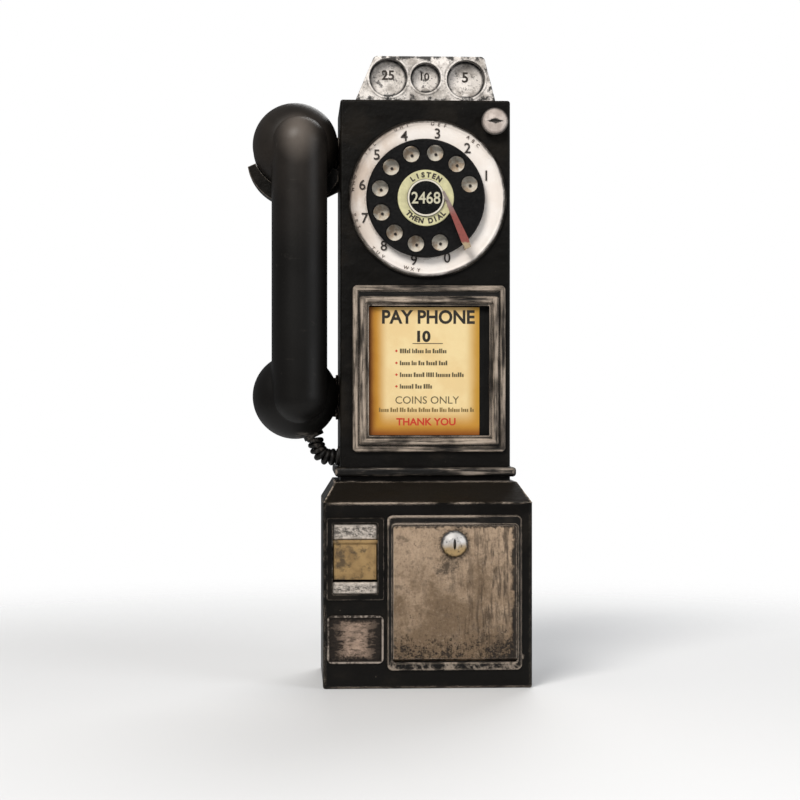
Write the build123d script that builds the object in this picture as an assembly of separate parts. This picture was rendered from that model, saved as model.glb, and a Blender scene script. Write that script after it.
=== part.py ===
"""Wall and counter payphone of a reduced size, built as separate named sub-parts.

Frame: millimetres, +Z up, the front faces -Y, the wall side faces +Y, and X is positive to the
viewer's right. The origin is the centre of the flat underside of the lower housing.
One STEP file per sub-part is written to parts/, and every sub-part has a function of its own.
"""

from build123d import *
import math
import os

# ---- driving dimensions: the cabinet -------------------------------------------------------
HEIGHT = 290.0
BASE_WIDTH = 95.0
BASE_DEPTH = 75.0
BASE_TOP = 84.1
SLOPE_TOP = 93.0
UPPER_WIDTH = 78.6
UPPER_DEPTH = 56.0
UPPER_TOP = 269.3
WALL = 2.2
TRIM = 1.3
GAP = 0.3

Y_BACK = BASE_DEPTH / 2
Y_TRIM = -BASE_DEPTH / 2
Y_BASE = Y_TRIM + TRIM
Y_UPPER = Y_BACK - UPPER_DEPTH
X_BASE = BASE_WIDTH / 2
X_UPPER = UPPER_WIDTH / 2
X_SLOPE_TOP = X_UPPER + 2.6
Y_INNER = Y_UPPER + WALL
X_INNER = X_UPPER - WALL
BACK_PLATE_T = 2.2
Y_PLATE = Y_BACK - BACK_PLATE_T

# ---- driving dimensions: the dial ----------------------------------------------------------
DIAL_X = -0.3
DIAL_Z = 223.3
PLATE_X = 1.0
PLATE_Z = 223.6
PLATE_R = 35.9
BEZEL_R = 36.8
WHEEL_R = 27.3
WHEEL_T = 2.5
Y_NUMBERS = -20.6
Y_WHEEL_BACK = Y_NUMBERS - 2.0
Y_WHEEL = Y_WHEEL_BACK - WHEEL_T
FINGER_R = 3.75
FINGER_RING_R = 21.3
FIRST_HOLE = 18.0
HOLE_STEP = 30.0
HOLES = 10
CARD_R = 12.9
BADGE_R = 8.6
SHAFT_R = 2.0
RUNNING = 0.05

# ---- driving dimensions: the gear pair behind the dial --------------------------------------
MODULE = 0.55
GEAR_TEETH = 54
PINION_TEETH = 18
GEAR_SPAN = (-13.9, -12.3)
CENTRE_DISTANCE = MODULE * (GEAR_TEETH + PINION_TEETH) / 2 + 0.05
PINION_ANGLE = -30.0
BACKLASH = 0.10

# ---- driving dimensions: the handset and its hook -------------------------------------------
HANDSET_X = -60.0
HANDLE_X = -58.1
EAR_Z = 249.5
MOUTH_Z = 132.4
EAR_R = 19.9
MOUTH_R = 19.9
HANDLE_W = 25.8
Y_HANDLE = -24.0
HANDLE_T = 19.0
HANDLE_FRONT_ROUND = 12.0
HANDLE_BACK_ROUND = 6.0
DOME_RISE = 13.0
SEAM_ROUND = 1.5
Y_CUP_FRONT = -5.0
Y_CUP_BACK = 5.0
CAP_T = 6.0
HOOK_PIVOT_X = -20.0
HOOK_PIVOT_Z = 237.0
HOOK_PIN_R = 1.5
LEVER_SPAN = (0.0, 5.0)

# ---- driving dimensions: the cord -----------------------------------------------------------
CORD_R = 4.0
CORD_Y = 0.0
CORD_ROUTE = [(-51.0, 113.2), (-46.9, 104.5), (-33.6, 104.5)]
GROMMET_R = 4.7

# ---- driving dimensions: the front of the lower housing --------------------------------------
DOOR_X = (-15.7, 40.3)
DOOR_Z = (12.2, 73.8)
DOOR_T = 2.5
Y_DOOR = -36.6
DOOR_PIVOT = (-35.3, 14.2)
HINGE_PIN_R = 0.8
HINGE_SPAN = (-18.3, 42.9)
BORDER_X = (-18.5, 42.7)
BORDER_Z = (8.4, 78.5)
LOCK_X = 11.9
LOCK_Z = 65.5
PLUG_R = 2.8
RETURN_X = (-44.1, -21.9)
RETURN_Z = (41.9, 76.0)
FLAP_PIVOT = (-34.9, 66.5)
FLAP_PIN_R = 0.8
PANEL_X = (-45.7, -20.1)
PANEL_Z = (11.5, 33.3)

# ---- driving dimensions: the release knob and the instruction card ---------------------------
KNOB_X = 31.7
KNOB_Z = 259.0
KNOB_R = 6.2
STEM_R = 1.8
KNOB_TRAVEL = 3.0
FRAME_X = (-33.6, 37.0)
FRAME_Z = (106.8, 183.5)
FRAME_BAND = 7.4
HEAD_ROOM = 1.9
CARD_X = (-25.9, 25.1)
WINDOW_RIGHT = 29.6
CARD_Z = (114.5, 173.6)

# ---- driving dimensions: the coin head -------------------------------------------------------
HEAD_BOTTOM = (-32.3, 32.8)
HEAD_TOP = (-23.5, 27.5)
HEAD_SPAN = (-15.5, 8.5)
WELL_DEPTH = 4.8
WELLS = [(-17.0, 280.0, 8.9), (0.3, 280.0, 7.0), (19.0, 279.4, 8.9)]
SLOT_T = 2.0
Y_WELL = HEAD_SPAN[0] + WELL_DEPTH
CHUTE_X = (-27.2, 28.1)
CHUTE_PATH = [(-11.9, 267.0), (-11.9, 264.0), (16.5, 252.0), (16.5, 200.0)]


# ---- shape helpers --------------------------------------------------------------------------
def block(x, y, z):
    """A box between two corners, each axis given as (low, high)."""
    centre = ((x[0] + x[1]) / 2, (y[0] + y[1]) / 2, (z[0] + z[1]) / 2)
    return Pos(*centre) * Box(x[1] - x[0], y[1] - y[0], z[1] - z[0])


def rod_x(y, z, radius, x):
    """A round bar along X."""
    return Pos((x[0] + x[1]) / 2, y, z) * Rot(0, 90, 0) * Cylinder(radius, x[1] - x[0])


def rod_y(x, z, radius, y):
    """A round bar along Y."""
    return Pos(x, (y[0] + y[1]) / 2, z) * Rot(90, 0, 0) * Cylinder(radius, y[1] - y[0])


def rod_z(x, y, radius, z):
    """A round bar along Z."""
    return Pos(x, y, (z[0] + z[1]) / 2) * Cylinder(radius, z[1] - z[0])


def slab_y(sketch, y):
    """A sketch drawn in (x, z) made solid over a span of Y."""
    return extrude(Plane(origin=(0, y[1], 0), x_dir=(1, 0, 0), z_dir=(0, -1, 0)) * sketch, amount=y[1] - y[0])


def slab_x(sketch, x):
    """A sketch drawn in (y, z) made solid over a span of X."""
    return extrude(Plane(origin=(x[0], 0, 0), x_dir=(0, 1, 0), z_dir=(1, 0, 0)) * sketch, amount=x[1] - x[0])


def polygon(points):
    """A flat face with straight sides through the points."""
    return make_face(Polyline(*points, close=True))


def rounded(x, z, radius):
    """A rounded rectangle drawn in (x, z)."""
    return Pos((x[0] + x[1]) / 2, (z[0] + z[1]) / 2) * RectangleRounded(x[1] - x[0], z[1] - z[0], radius)


def grown(span, amount):
    """A span widened by the same amount at both ends."""
    return (span[0] - amount, span[1] + amount)


def turned_y(x, z, outline):
    """A solid of revolution about the Y direction through (x, z). The outline is (radius, y) points."""
    plane = Plane(origin=(x, 0, z), x_dir=(1, 0, 0), z_dir=(0, 0, 1))
    return revolve(plane * polygon(outline), Axis((x, 0, z), (0, 1, 0)), 360)


def polar(radius, degrees, x=DIAL_X, z=DIAL_Z):
    """A point at a radius and an angle from a centre, the dial's unless another is given."""
    a = math.radians(degrees)
    return (x + radius * math.cos(a), z + radius * math.sin(a))


def ribbon(path, half):
    """The outline of a strip of constant width that follows a path with mitred corners."""
    left, right = [], []
    for i, (u, v) in enumerate(path):
        before = path[i - 1] if i else None
        after = path[i + 1] if i + 1 < len(path) else None
        ways = []
        for a, b in ((before, (u, v)), ((u, v), after)):
            if a and b:
                length = math.hypot(b[0] - a[0], b[1] - a[1])
                ways.append(((b[0] - a[0]) / length, (b[1] - a[1]) / length))
        nu = sum(-w[1] for w in ways)
        nv = sum(w[0] for w in ways)
        scale = half * len(ways) / (nu * nu + nv * nv) if len(ways) > 1 else half
        left.append((u + nu * scale, v + nv * scale))
        right.append((u - nu * scale, v - nv * scale))
    return left + right[::-1]


def ring_section(outer, inner, y):
    """A flat ring between two faces drawn in (x, z)."""
    return slab_y(outer, y) - slab_y(inner, grown(y, 1))


def coil_spring(x, z, radius, wire, pitch, y):
    """A round-wire compression spring along Y."""
    path = Plane(origin=(x, y[1], z), x_dir=(1, 0, 0), z_dir=(0, -1, 0)) * Helix(pitch, y[1] - y[0], radius)
    start = Plane(origin=path @ 0, z_dir=path % 0)
    return sweep(start * Circle(wire), path=path)


def gear(x, z, teeth, y, phase):
    """A spur gear with involute flanks, thinned at the pitch circle by half the backlash."""
    pitch_r = MODULE * teeth / 2
    base_r = pitch_r * math.cos(math.radians(20))
    tip_r = pitch_r + 0.9 * MODULE
    root_r = pitch_r - 1.15 * MODULE
    flank_r = max(base_r, root_r)

    def roll(r):
        cosine = min(1.0, base_r / r)
        return math.tan(math.acos(cosine)) - math.acos(cosine)

    half = (math.pi * MODULE / 2 - BACKLASH / 2) / (2 * pitch_r)
    steps = [flank_r + (tip_r - flank_r) * i / 3 for i in range(4)]
    flank = [(r, half + roll(pitch_r) - roll(r)) for r in steps]
    tooth = [(root_r, flank[0][1])] if root_r < flank_r else []
    tooth += flank
    outline = []
    for i in range(teeth):
        middle = math.radians(phase) + 2 * math.pi * i / teeth
        for r, a in tooth:
            outline.append((x + r * math.cos(middle - a), z + r * math.sin(middle - a)))
        for r, a in reversed(tooth):
            outline.append((x + r * math.cos(middle + a), z + r * math.sin(middle + a)))
    return slab_y(polygon(outline), y)


# ---- the cabinet ----------------------------------------------------------------------------
def upper_housing():
    shell = block((-X_UPPER, X_UPPER), (Y_UPPER, Y_BACK), (SLOPE_TOP, UPPER_TOP))
    outside = [e for e in shell.edges() if e.center().Z > SLOPE_TOP + 1 and e.center().Y < Y_BACK - 1]
    shell = fillet(outside, 1.2)
    shell -= block((-X_INNER, X_INNER), (Y_INNER, Y_BACK + 1), (SLOPE_TOP - 1, UPPER_TOP - WALL))
    through = (Y_UPPER - 1, Y_INNER + 1)
    shell -= rod_y(DIAL_X, DIAL_Z, 30.0, through)
    shell -= block((CARD_X[0] - 0.9, WINDOW_RIGHT), through, grown(CARD_Z, 0.9))
    shell -= rod_y(KNOB_X, KNOB_Z, 3.6, through)
    left_wall = (-X_UPPER - 1, -X_INNER + 1)
    shell -= block(left_wall, grown(LEVER_SPAN, 0.6), (228.0, 244.4))
    shell -= rod_x(CORD_Y, CORD_ROUTE[-1][1], GROMMET_R, left_wall)
    shell -= block(grown(CHUTE_X, 0.2), (-14.5, -9.0), (UPPER_TOP - WALL - 1, UPPER_TOP + 1))
    for side in (-1, 1):
        for low in (SLOPE_TOP + 3, UPPER_TOP - WALL - 7.0):
            shell += block(tuple(sorted((side * 30.0, side * (X_INNER + 0.5)))), (27.0, Y_PLATE), (low, low + 6.5))
    for x, z in plate_screws():
        shell -= rod_y(x, z, 1.2, (28.5, Y_PLATE + 1))
    return shell


def plate_screws():
    """Centres of the four screws that hold the back plate in the upper housing."""
    return [(side * 33.0, z) for side in (-1, 1) for z in (SLOPE_TOP + 6.2, UPPER_TOP - WALL - 3.8)]


def wall_holes():
    """Centres of the four holes through which the phone is fixed to a wall."""
    return [(side * 20.0, z) for side in (-1, 1) for z in (120.0, 190.0)]


def lower_housing():
    outer = block((-X_BASE, X_BASE), (Y_BASE, Y_BACK), (0, BASE_TOP))
    outer = fillet([e for e in outer.edges().filter_by(Axis.Z) if e.center().Y < 0], 1.5)
    outer = fillet([e for e in outer.edges() if e.center().Z < 0.1 and e.center().Y < Y_BACK - 1], 1.0)
    outer += hipped_top(X_BASE, Y_BASE, X_SLOPE_TOP, -22.5, BASE_TOP, SLOPE_TOP)
    inner = block((-X_BASE + 2.4, X_BASE - 2.4), (Y_BASE + 2.4, Y_BACK - 2.4), (2.4, BASE_TOP - 1.0))
    inner += hipped_top(X_BASE - 2.4, Y_BASE + 2.4, X_SLOPE_TOP - 2.4, -20.0, BASE_TOP - 1.0, SLOPE_TOP - 2.2)
    shell = outer - inner
    shell -= block((-34, 34), (-19.0, 33.0), (SLOPE_TOP - 5, SLOPE_TOP + 1))
    front = (Y_BASE - 1, Y_BASE + 3)
    shell -= block(grown(DOOR_X, 0.6), front, (BORDER_Z[0] + 1.0, DOOR_Z[1] + 0.8))
    shell -= rod_x(*DOOR_PIVOT, HINGE_PIN_R, HINGE_SPAN)
    shell -= block(grown(RETURN_X, 0.05), front, grown(RETURN_Z, 0.05))
    shell -= slab_y(rounded(grown(PANEL_X, -1.0), grown(PANEL_Z, -1.0), 1.6), (Y_BASE - 1, Y_BASE + 0.8))
    return shell


def hipped_top(half_low, front_low, half_high, front_high, z_low, z_high):
    """A tapered cap with a vertical back: a wide rectangle below, a narrower one above."""
    back = Y_BACK if z_high > SLOPE_TOP - 0.1 else Y_BACK - 2.4
    faces = []
    for half, front, z in ((half_low, front_low, z_low), (half_high, front_high, z_high)):
        faces.append(Pos(0, (front + back) / 2, z) * Rectangle(2 * half, back - front))
    return loft(faces, ruled=True)


def collar_bead():
    """The moulding that wraps the foot of the upper housing on three sides."""
    z = (95.3, 99.7)
    bead = block((-X_SLOPE_TOP, X_SLOPE_TOP), (Y_UPPER - 2.6, Y_BACK), z)
    bead = fillet([e for e in bead.edges().filter_by(Axis.Z) if e.center().Y < 0], 1.5)
    soft = [e for e in bead.edges() if abs(e.center().Z - sum(z) / 2) > 1 and e.center().Y < Y_BACK - 1]
    bead = fillet(soft, 1.6)
    return bead - block((-X_UPPER, X_UPPER), (Y_UPPER, Y_BACK + 1), grown(z, 1))


def back_plate():
    span = ((-X_INNER + 0.1, X_INNER - 0.1), (Y_PLATE, Y_BACK), (SLOPE_TOP + 0.1, UPPER_TOP - WALL - 0.1))
    plate = block(*span)
    for x, z in wall_holes():
        plate -= rod_y(x, z, 2.25, grown(span[1], 1))
    for x, z in plate_screws():
        plate -= rod_y(x, z, 1.3, grown(span[1], 1))
        plate -= turned_y(x, z, [(0, Y_BACK - 1.3), (1.2, Y_BACK - 1.3), (2.5, Y_BACK + 0.1), (0, Y_BACK + 0.1)])
    return plate


def back_plate_screws():
    screws = []
    for x, z in plate_screws():
        top = Y_BACK - 0.1
        shape = [(0, 29.0), (1.15, 29.0), (1.15, Y_BACK - 1.3), (2.15, top), (0, top)]
        slot = block((x - 3, x + 3), (top - 0.4, top + 1), (z - 0.25, z + 0.25))
        screws.append(turned_y(x, z, shape) - slot)
    return Compound(screws)


def dial_bezel():
    """The raised ring on the housing that the number plate sits in."""
    groove = PLATE_R + 0.1
    outline = [(31.4, Y_UPPER), (BEZEL_R, Y_UPPER), (BEZEL_R, Y_UPPER - 0.9), (BEZEL_R - 0.4, Y_UPPER - 1.5)]
    outline += [(groove, Y_UPPER - 1.5), (groove, Y_UPPER - 0.6), (31.4, Y_UPPER - 0.6)]
    return turned_y(PLATE_X, PLATE_Z, outline)


# ---- the coin head and the coin path ----------------------------------------------------------
def coin_head():
    sides = [(HEAD_BOTTOM[0], UPPER_TOP), (HEAD_BOTTOM[1], UPPER_TOP), (HEAD_TOP[1], HEIGHT), (HEAD_TOP[0], HEIGHT)]
    face = polygon(sides)
    face = fillet([v for v in face.vertices() if v.Y > HEIGHT - 1], 2.2)
    head = slab_y(face, HEAD_SPAN)
    front = HEAD_SPAN[0]
    head = fillet([e for e in head.edges() if e.center().Y < front + 0.1 and e.center().Z > UPPER_TOP + 1], 0.7)
    for x, z, r in WELLS:
        head += slab_y(Pos(x, z) * (Circle(r + 0.9) - Circle(r)), (front - 0.35, front + 0.5))
    for x, z, r in WELLS:
        head -= rod_y(x, z, r, (front - 1, Y_WELL))
        head -= block((x - r + 1.0, x + r - 1.0), (Y_WELL - SLOT_T, Y_WELL), (UPPER_TOP - 1, z - 2.0))
    for x, z, r in WELLS:
        lug = rod_y(x, z - r, 2.3, (Y_WELL - SLOT_T - 1.6, Y_WELL - SLOT_T))
        head += lug & rod_y(x, z, r + 0.3, (front, Y_WELL))
    return head


def coin_chute():
    chute = slab_x(polygon(ribbon(CHUTE_PATH, 2.3)), CHUTE_X)
    inner = polygon(ribbon([(-11.9, 268.0)] + CHUTE_PATH[1:3] + [(16.5, 199.0)], 1.1))
    for x, _, r in WELLS:
        chute -= slab_x(inner, (x - r + 0.6, x + r - 0.6))
    return chute


def coin_hopper():
    """Funnel that gathers the three coin lanes over the trap."""
    def cone(margin, z_low, z_high):
        top = Pos(0.4, 16.5, z_high) * Rectangle(CHUTE_X[1] - CHUTE_X[0] - 2 * margin, 9.0 - 2 * margin)
        bottom = Pos(0.4, 16.5, z_low) * Rectangle(20.0 - 2 * margin, 9.0 - 2 * margin)
        return loft([bottom, top], ruled=True)

    funnel = cone(0, 172.0, 199.9) - cone(1.2, 171.9, 200.0)
    spout = block((-9.6, 10.4), (12.0, 21.0), (150.0, 172.0)) - block((-8.4, 9.2), (13.2, 19.8), (149.0, 173.0))
    return funnel + spout


def coin_relay():
    """Trap box with the coil that throws the vane."""
    box = block((-14.6, 15.4), (10.8, 22.2), (122.0, 149.9)) - block((-13.4, 14.2), (12.0, 21.0), (121.0, 151.0))
    box -= rod_y(0.4, 146.0, 1.3, (10.0, 23.0))
    coil = rod_z(0.4, 28.0, 5.0, (128.0, 143.0)) + rod_z(0.4, 28.0, 6.2, (126.8, 128.0))
    coil += rod_z(0.4, 28.0, 6.2, (143.0, 144.2))
    yoke = block((-3.6, 4.4), (22.2, 29.5), (125.6, 126.8))
    return box + coil + yoke


def coin_trap():
    """Vane that tips to send a coin to the coin box or back to the return cup."""
    pin = rod_y(0.4, 146.0, 1.2, (10.9, 22.1))
    vane = block((-0.2, 1.0), (12.4, 20.6), (128.5, 146.0))
    return pin + vane


def return_chute():
    """Slanted square tube from the trap to the coin return cup."""
    def tube(half):
        low = Pos(-32.2, -24.0, 77.2) * Rectangle(2 * half, 2 * half)
        high = Pos(-8.6, 16.5, 121.8) * Rectangle(2 * half, 2 * half)
        return loft([low, high], ruled=True)

    return tube(4.6) - tube(3.6)


def coin_bell():
    """Small gong cup on a post of the back plate."""
    x, z = -22.0, 158.0
    cup = turned_y(x, z, [(0, 30.0), (9.0, 24.0), (10.2, 20.5), (9.4, 20.5), (8.2, 23.4), (0, 28.8)])
    return cup + rod_y(x, z, 1.6, (29.0, Y_PLATE))


def coin_gong():
    """Coiled wire gong on a post of the back plate."""
    x, z = 23.0, 158.0
    coil = coil_spring(x, z, 7.0, 0.7, 2.4, (22.0, 31.0))
    return coil + block((x + 6.2, x + 7.8), (31.0, Y_PLATE), (z - 0.8, z + 0.8))


# ---- the dial -------------------------------------------------------------------------------
def number_plate():
    back = Y_UPPER - 0.6
    outline = [(0, back), (PLATE_R, back), (PLATE_R, back - 0.5), (PLATE_R - 1.2, Y_NUMBERS - 0.3)]
    outline += [(PLATE_R - 2.2, Y_NUMBERS), (0, Y_NUMBERS)]
    return turned_y(PLATE_X, PLATE_Z, outline) - rod_y(DIAL_X, DIAL_Z, SHAFT_R + 1.2, (back + 1, Y_NUMBERS - 1)[::-1])


def finger_wheel():
    rim = [(SHAFT_R, Y_WHEEL_BACK), (WHEEL_R - 0.4, Y_WHEEL_BACK), (WHEEL_R, Y_WHEEL_BACK - 0.5)]
    rim += [(WHEEL_R, Y_WHEEL + 0.8), (WHEEL_R - 0.8, Y_WHEEL), (SHAFT_R, Y_WHEEL)]
    wheel = turned_y(DIAL_X, DIAL_Z, rim)
    for i in range(HOLES):
        x, z = polar(FINGER_RING_R, FIRST_HOLE + HOLE_STEP * i)
        bevel = [(0, Y_WHEEL - 0.1), (FINGER_R + 0.6, Y_WHEEL - 0.1), (FINGER_R, Y_WHEEL + 0.6), (0, Y_WHEEL + 0.6)]
        wheel -= rod_y(x, z, FINGER_R, (Y_WHEEL - 1, Y_WHEEL_BACK + 1)) + turned_y(x, z, bevel)
    return wheel


def dial_card():
    """Cream ring card in the middle of the finger wheel."""
    front = Y_WHEEL - 0.7
    outline = [(0, Y_WHEEL), (CARD_R, Y_WHEEL), (CARD_R, front + 0.25), (CARD_R - 0.25, front), (0, front)]
    return turned_y(DIAL_X, DIAL_Z, outline)


def card_badge():
    """Dark centre disc with a pale rim that holds the ring card down."""
    back, front = Y_WHEEL - 0.7, Y_WHEEL - 1.6
    outline = [(0, back), (BADGE_R, back), (BADGE_R, front + 0.2), (BADGE_R - 0.3, front)]
    outline += [(BADGE_R - 0.8, front), (BADGE_R - 0.9, front + 0.2), (0, front + 0.2)]
    return turned_y(DIAL_X, DIAL_Z, outline)


def dial_shaft():
    return rod_y(DIAL_X, DIAL_Z, SHAFT_R, (Y_WHEEL, -4.0)) + rod_y(DIAL_X, DIAL_Z, 3.0, (Y_WHEEL_BACK, -21.2))


def main_gear():
    wheel = gear(DIAL_X, DIAL_Z, GEAR_TEETH, GEAR_SPAN, PINION_ANGLE)
    wheel += rod_y(DIAL_X, DIAL_Z, 4.0, (GEAR_SPAN[1] - 0.5, GEAR_SPAN[1] + 1.4))
    for i in range(4):
        x, z = polar(8.6, 45 + 90 * i)
        wheel -= rod_y(x, z, 2.6, grown(GEAR_SPAN, 1))
    return wheel - rod_y(DIAL_X, DIAL_Z, SHAFT_R, (-20, 0))


def governor():
    """Pinion, arbor and fly weights that turn as one."""
    x, z = polar(CENTRE_DISTANCE, PINION_ANGLE)
    facing = PINION_ANGLE + 180
    rotor = gear(x, z, PINION_TEETH, GEAR_SPAN, facing + 180.0 / PINION_TEETH)
    rotor += rod_y(x, z, 1.2, (-16.0, -4.6))
    rotor += block((x - 5.4, x + 5.4), (-10.4, -9.6), (z - 1.3, z + 1.3))
    for side in (-1, 1):
        rotor += rod_y(x + side * 4.6, z, 1.5, (-10.4, -7.4))
    return rotor


def dial_posts():
    """Centres of the three posts between the dial's two mechanism plates."""
    return [polar(24.5, a) for a in (62, 180, 278)]


def dial_frame():
    """Front and rear mechanism plates with three posts and the governor's drum on the rear plate."""
    front = rod_y(DIAL_X, DIAL_Z, 33.0, (Y_INNER, -14.9)) - rod_y(DIAL_X, DIAL_Z, SHAFT_R + RUNNING, (-20, 0))
    gx, gz = polar(CENTRE_DISTANCE, PINION_ANGLE)
    rear = slab_y(polygon([*dial_posts(), (gx + 6.0, gz - 2.0), (gx + 6.0, gz + 6.0)]), (-6.0, -4.8))
    rear += slab_y(Pos(gx, gz) * Circle(8.2), (-6.0, -4.8))
    for x, z in dial_posts():
        rear += rod_y(x, z, 3.0, (-6.0, -4.8))
    rear -= rod_y(DIAL_X, DIAL_Z, SHAFT_R + RUNNING, (-20, 0))
    rear += slab_y(Pos(gx, gz) * (Circle(7.9) - Circle(7.0)), (-10.6, -6.0))
    frame = front + rear - rod_y(gx, gz, 1.2 + RUNNING, (-20, 0))
    for x, z in dial_posts():
        frame += rod_y(x, z, 1.8, (-14.9, -6.0))
    return frame


def dial_spring():
    """Return spring around the dial shaft."""
    return coil_spring(DIAL_X, DIAL_Z, 5.4, 0.35, 1.0, (-10.1, -6.9))


def pulse_contacts():
    """Pair of leaf contacts on an insulating block, left of the main gear."""
    x, z = polar(23.0, 135)
    block_ = block((x - 2.5, x + 2.5), (-14.9, -7.5), (z - 2.5, z + 2.5))
    for dz in (-1.0, 1.0):
        block_ += block((x - 1.0, x + 7.5), (-9.6, -8.8), (z + dz - 0.25, z + dz + 0.25))
    return block_


def finger_stop():
    """Bent strip: a foot outside the wheel's rim and an arm that slants across to the centre card."""
    foot_x, foot_z = polar(29.3, -49.5)
    near_x, near_z = polar(8.4, 20.0)
    length = math.hypot(foot_x - near_x, foot_z - near_z)
    along = ((foot_x - near_x) / length, (foot_z - near_z) / length)
    across = (-along[1], along[0])

    def at(distance, side):
        return (near_x + along[0] * distance + across[0] * side, near_z + along[1] * distance + across[1] * side)

    y = (Y_WHEEL - 3.0, Y_WHEEL - 2.1)
    outline = [at(0, -0.5), at(0, 0.5), at(7, 1.0), at(length - 3, 1.8), at(length + 0.8, 1.3)]
    outline += [at(length + 0.8, -1.3), at(length - 3, -1.8), at(7, -1.0)]
    foot = polygon([at(length - 0.8, -1.3), at(length + 0.8, -1.3), at(length + 0.8, 1.3), at(length - 0.8, 1.3)])
    return slab_y(polygon(outline), y) + slab_y(foot, (y[0], Y_NUMBERS))


# ---- the instruction card ---------------------------------------------------------------------
def card_frame():
    """Moulded frame with two ridges and a groove between them, wider along its top."""
    front = Y_UPPER

    def outline(inset, radius, drop):
        low, high = grown(FRAME_Z, -inset)
        return rounded(grown(FRAME_X, -inset), (low, high - drop), radius)

    def band(inset, width, height, drop=0.0, inner_drop=None):
        outer = outline(inset, max(0.6, 2.0 - inset / 3), drop)
        inner = outline(inset + width, 0.5, drop if inner_drop is None else inner_drop)
        return ring_section(outer, inner, (front - height, front))

    def ridge(inset, width, height, drop=0.0):
        ring = band(inset, width, height, drop)
        crest = [e for e in ring.edges() if abs(e.center().Y - (front - height)) < 0.01]
        return chamfer(crest, min(0.45, width / 4))

    frame = band(0.8, FRAME_BAND - 1.2, 0.8, inner_drop=HEAD_ROOM) + ridge(0, 2.4, 1.9)
    return frame + ridge(3.4, 2.6, 2.4, HEAD_ROOM) + band(FRAME_BAND - 1.4, 1.4, 1.2, HEAD_ROOM)


def card_backing():
    return block((-29.0, WINDOW_RIGHT + 2.2), (Y_INNER, Y_INNER + 1.4), (111.0, 177.0))


def instruction_card():
    return block(CARD_X, (Y_INNER - 0.7, Y_INNER), CARD_Z)


# ---- the release knob --------------------------------------------------------------------------
def knob_bush():
    """Guide for the knob's stem, with a flange on the outside of the housing."""
    outline = [(STEM_R + RUNNING, Y_INNER + 2.0), (3.5, Y_INNER + 2.0), (3.5, Y_UPPER), (4.6, Y_UPPER)]
    outline += [(4.6, Y_UPPER - 0.7), (STEM_R + RUNNING, Y_UPPER - 0.7)]
    return turned_y(KNOB_X, KNOB_Z, outline)


def release_knob():
    """Round push knob on a stem. Its cap has a cross slot like a coin-lock."""
    back = Y_UPPER - 0.7 - KNOB_TRAVEL - 0.3
    front = back - 2.2
    cap = [(0, back), (KNOB_R, back), (KNOB_R, back - 1.0), (KNOB_R - 1.3, front), (0, front - 0.3)]
    knob = turned_y(KNOB_X, KNOB_Z, cap) + rod_y(KNOB_X, KNOB_Z, STEM_R, (back, -6.0))
    knob += rod_y(KNOB_X, KNOB_Z, 2.8, (-8.0, -6.0))
    mark = slab_y(Pos(KNOB_X, KNOB_Z) * Ellipse(2.9, 0.7), (front - 1, front + 0.7))
    return knob - mark


def release_spring():
    return coil_spring(KNOB_X, KNOB_Z, 2.6, 0.3, 1.1, (-13.6, -8.5))


# ---- the hook ----------------------------------------------------------------------------------
def hook_cradle():
    """Crescent cup under the ear cap and the arm that carries it through the side wall."""
    crescent = Pos(HANDSET_X, EAR_Z - 5.1) * Circle(22.7) - Pos(HANDSET_X, EAR_Z) * Circle(EAR_R + 0.45)
    cut = [(HANDSET_X, EAR_Z), polar(60, 204, HANDSET_X, EAR_Z), (-130.0, 330.0), (40.0, 330.0)]
    cut += [polar(60, -30, HANDSET_X, EAR_Z)]
    cup = slab_y(crescent - polygon(cut), (-3.5, 9.5))
    arm = polygon([(-46.0, 225.6), (-38.6, 229.4), (-30.0, 231.6), (-30.0, 241.2), (-39.0, 241.2), (-41.5, 238.0)])
    cup -= block((-X_UPPER - 0.7, 0), (-10, 20), (200, 260))
    return cup + slab_y(arm, LEVER_SPAN) - rod_y(HANDSET_X, EAR_Z, EAR_R + 0.45, (-20, 20))


def hook_lever():
    """Inner end of the hook, on its pivot, with the tail that works the switch springs."""
    plate = polygon([(-30.0, 231.6), (-16.0, 233.0), (-6.0, 235.6), (-6.0, 238.4), (-16.0, 241.0), (-30.0, 241.2)])
    return slab_y(plate, LEVER_SPAN) - rod_y(HOOK_PIVOT_X, HOOK_PIVOT_Z, HOOK_PIN_R + RUNNING, (-1, 6))


def hook_frame():
    """Two ears on the left wall with the hook's riveted pivot pin."""
    ears = []
    for y in ((-2.2, -0.6), (5.6, 7.2)):
        ear = polygon([(-X_INNER, 246.0), (-X_INNER, 248.5), (-20.0, 248.5), (-16.5, 240.0), (-16.5, 234.0), (-23.5, 234.0)])
        ears.append(slab_y(ear, y))
    bridge = block((-X_INNER, -20.0), (-2.2, 7.2), (246.8, 248.5))
    return ears[0] + ears[1] + bridge + rod_y(HOOK_PIVOT_X, HOOK_PIVOT_Z, HOOK_PIN_R, (-2.8, 7.8))


def hook_bracket():
    """Fixed casting behind the ear cap, which flares out of the side wall."""
    edge = [(-X_UPPER, 253.2), (-41.2, 254.4), (-44.2, 259.0), (-48.6, 264.0), (-56.0, 266.4), (-67.0, 263.0)]
    edge += [(-73.0, 249.5), (-65.0, 236.0), (-53.0, 230.4), (-46.0, 229.4), (-X_UPPER, 232.2)]
    plate = slab_y(polygon(edge), (12.4, 16.8))
    return plate + block((-X_UPPER - 1.4, -X_UPPER), (10.4, 19.5), (230.0, 255.4))


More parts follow.
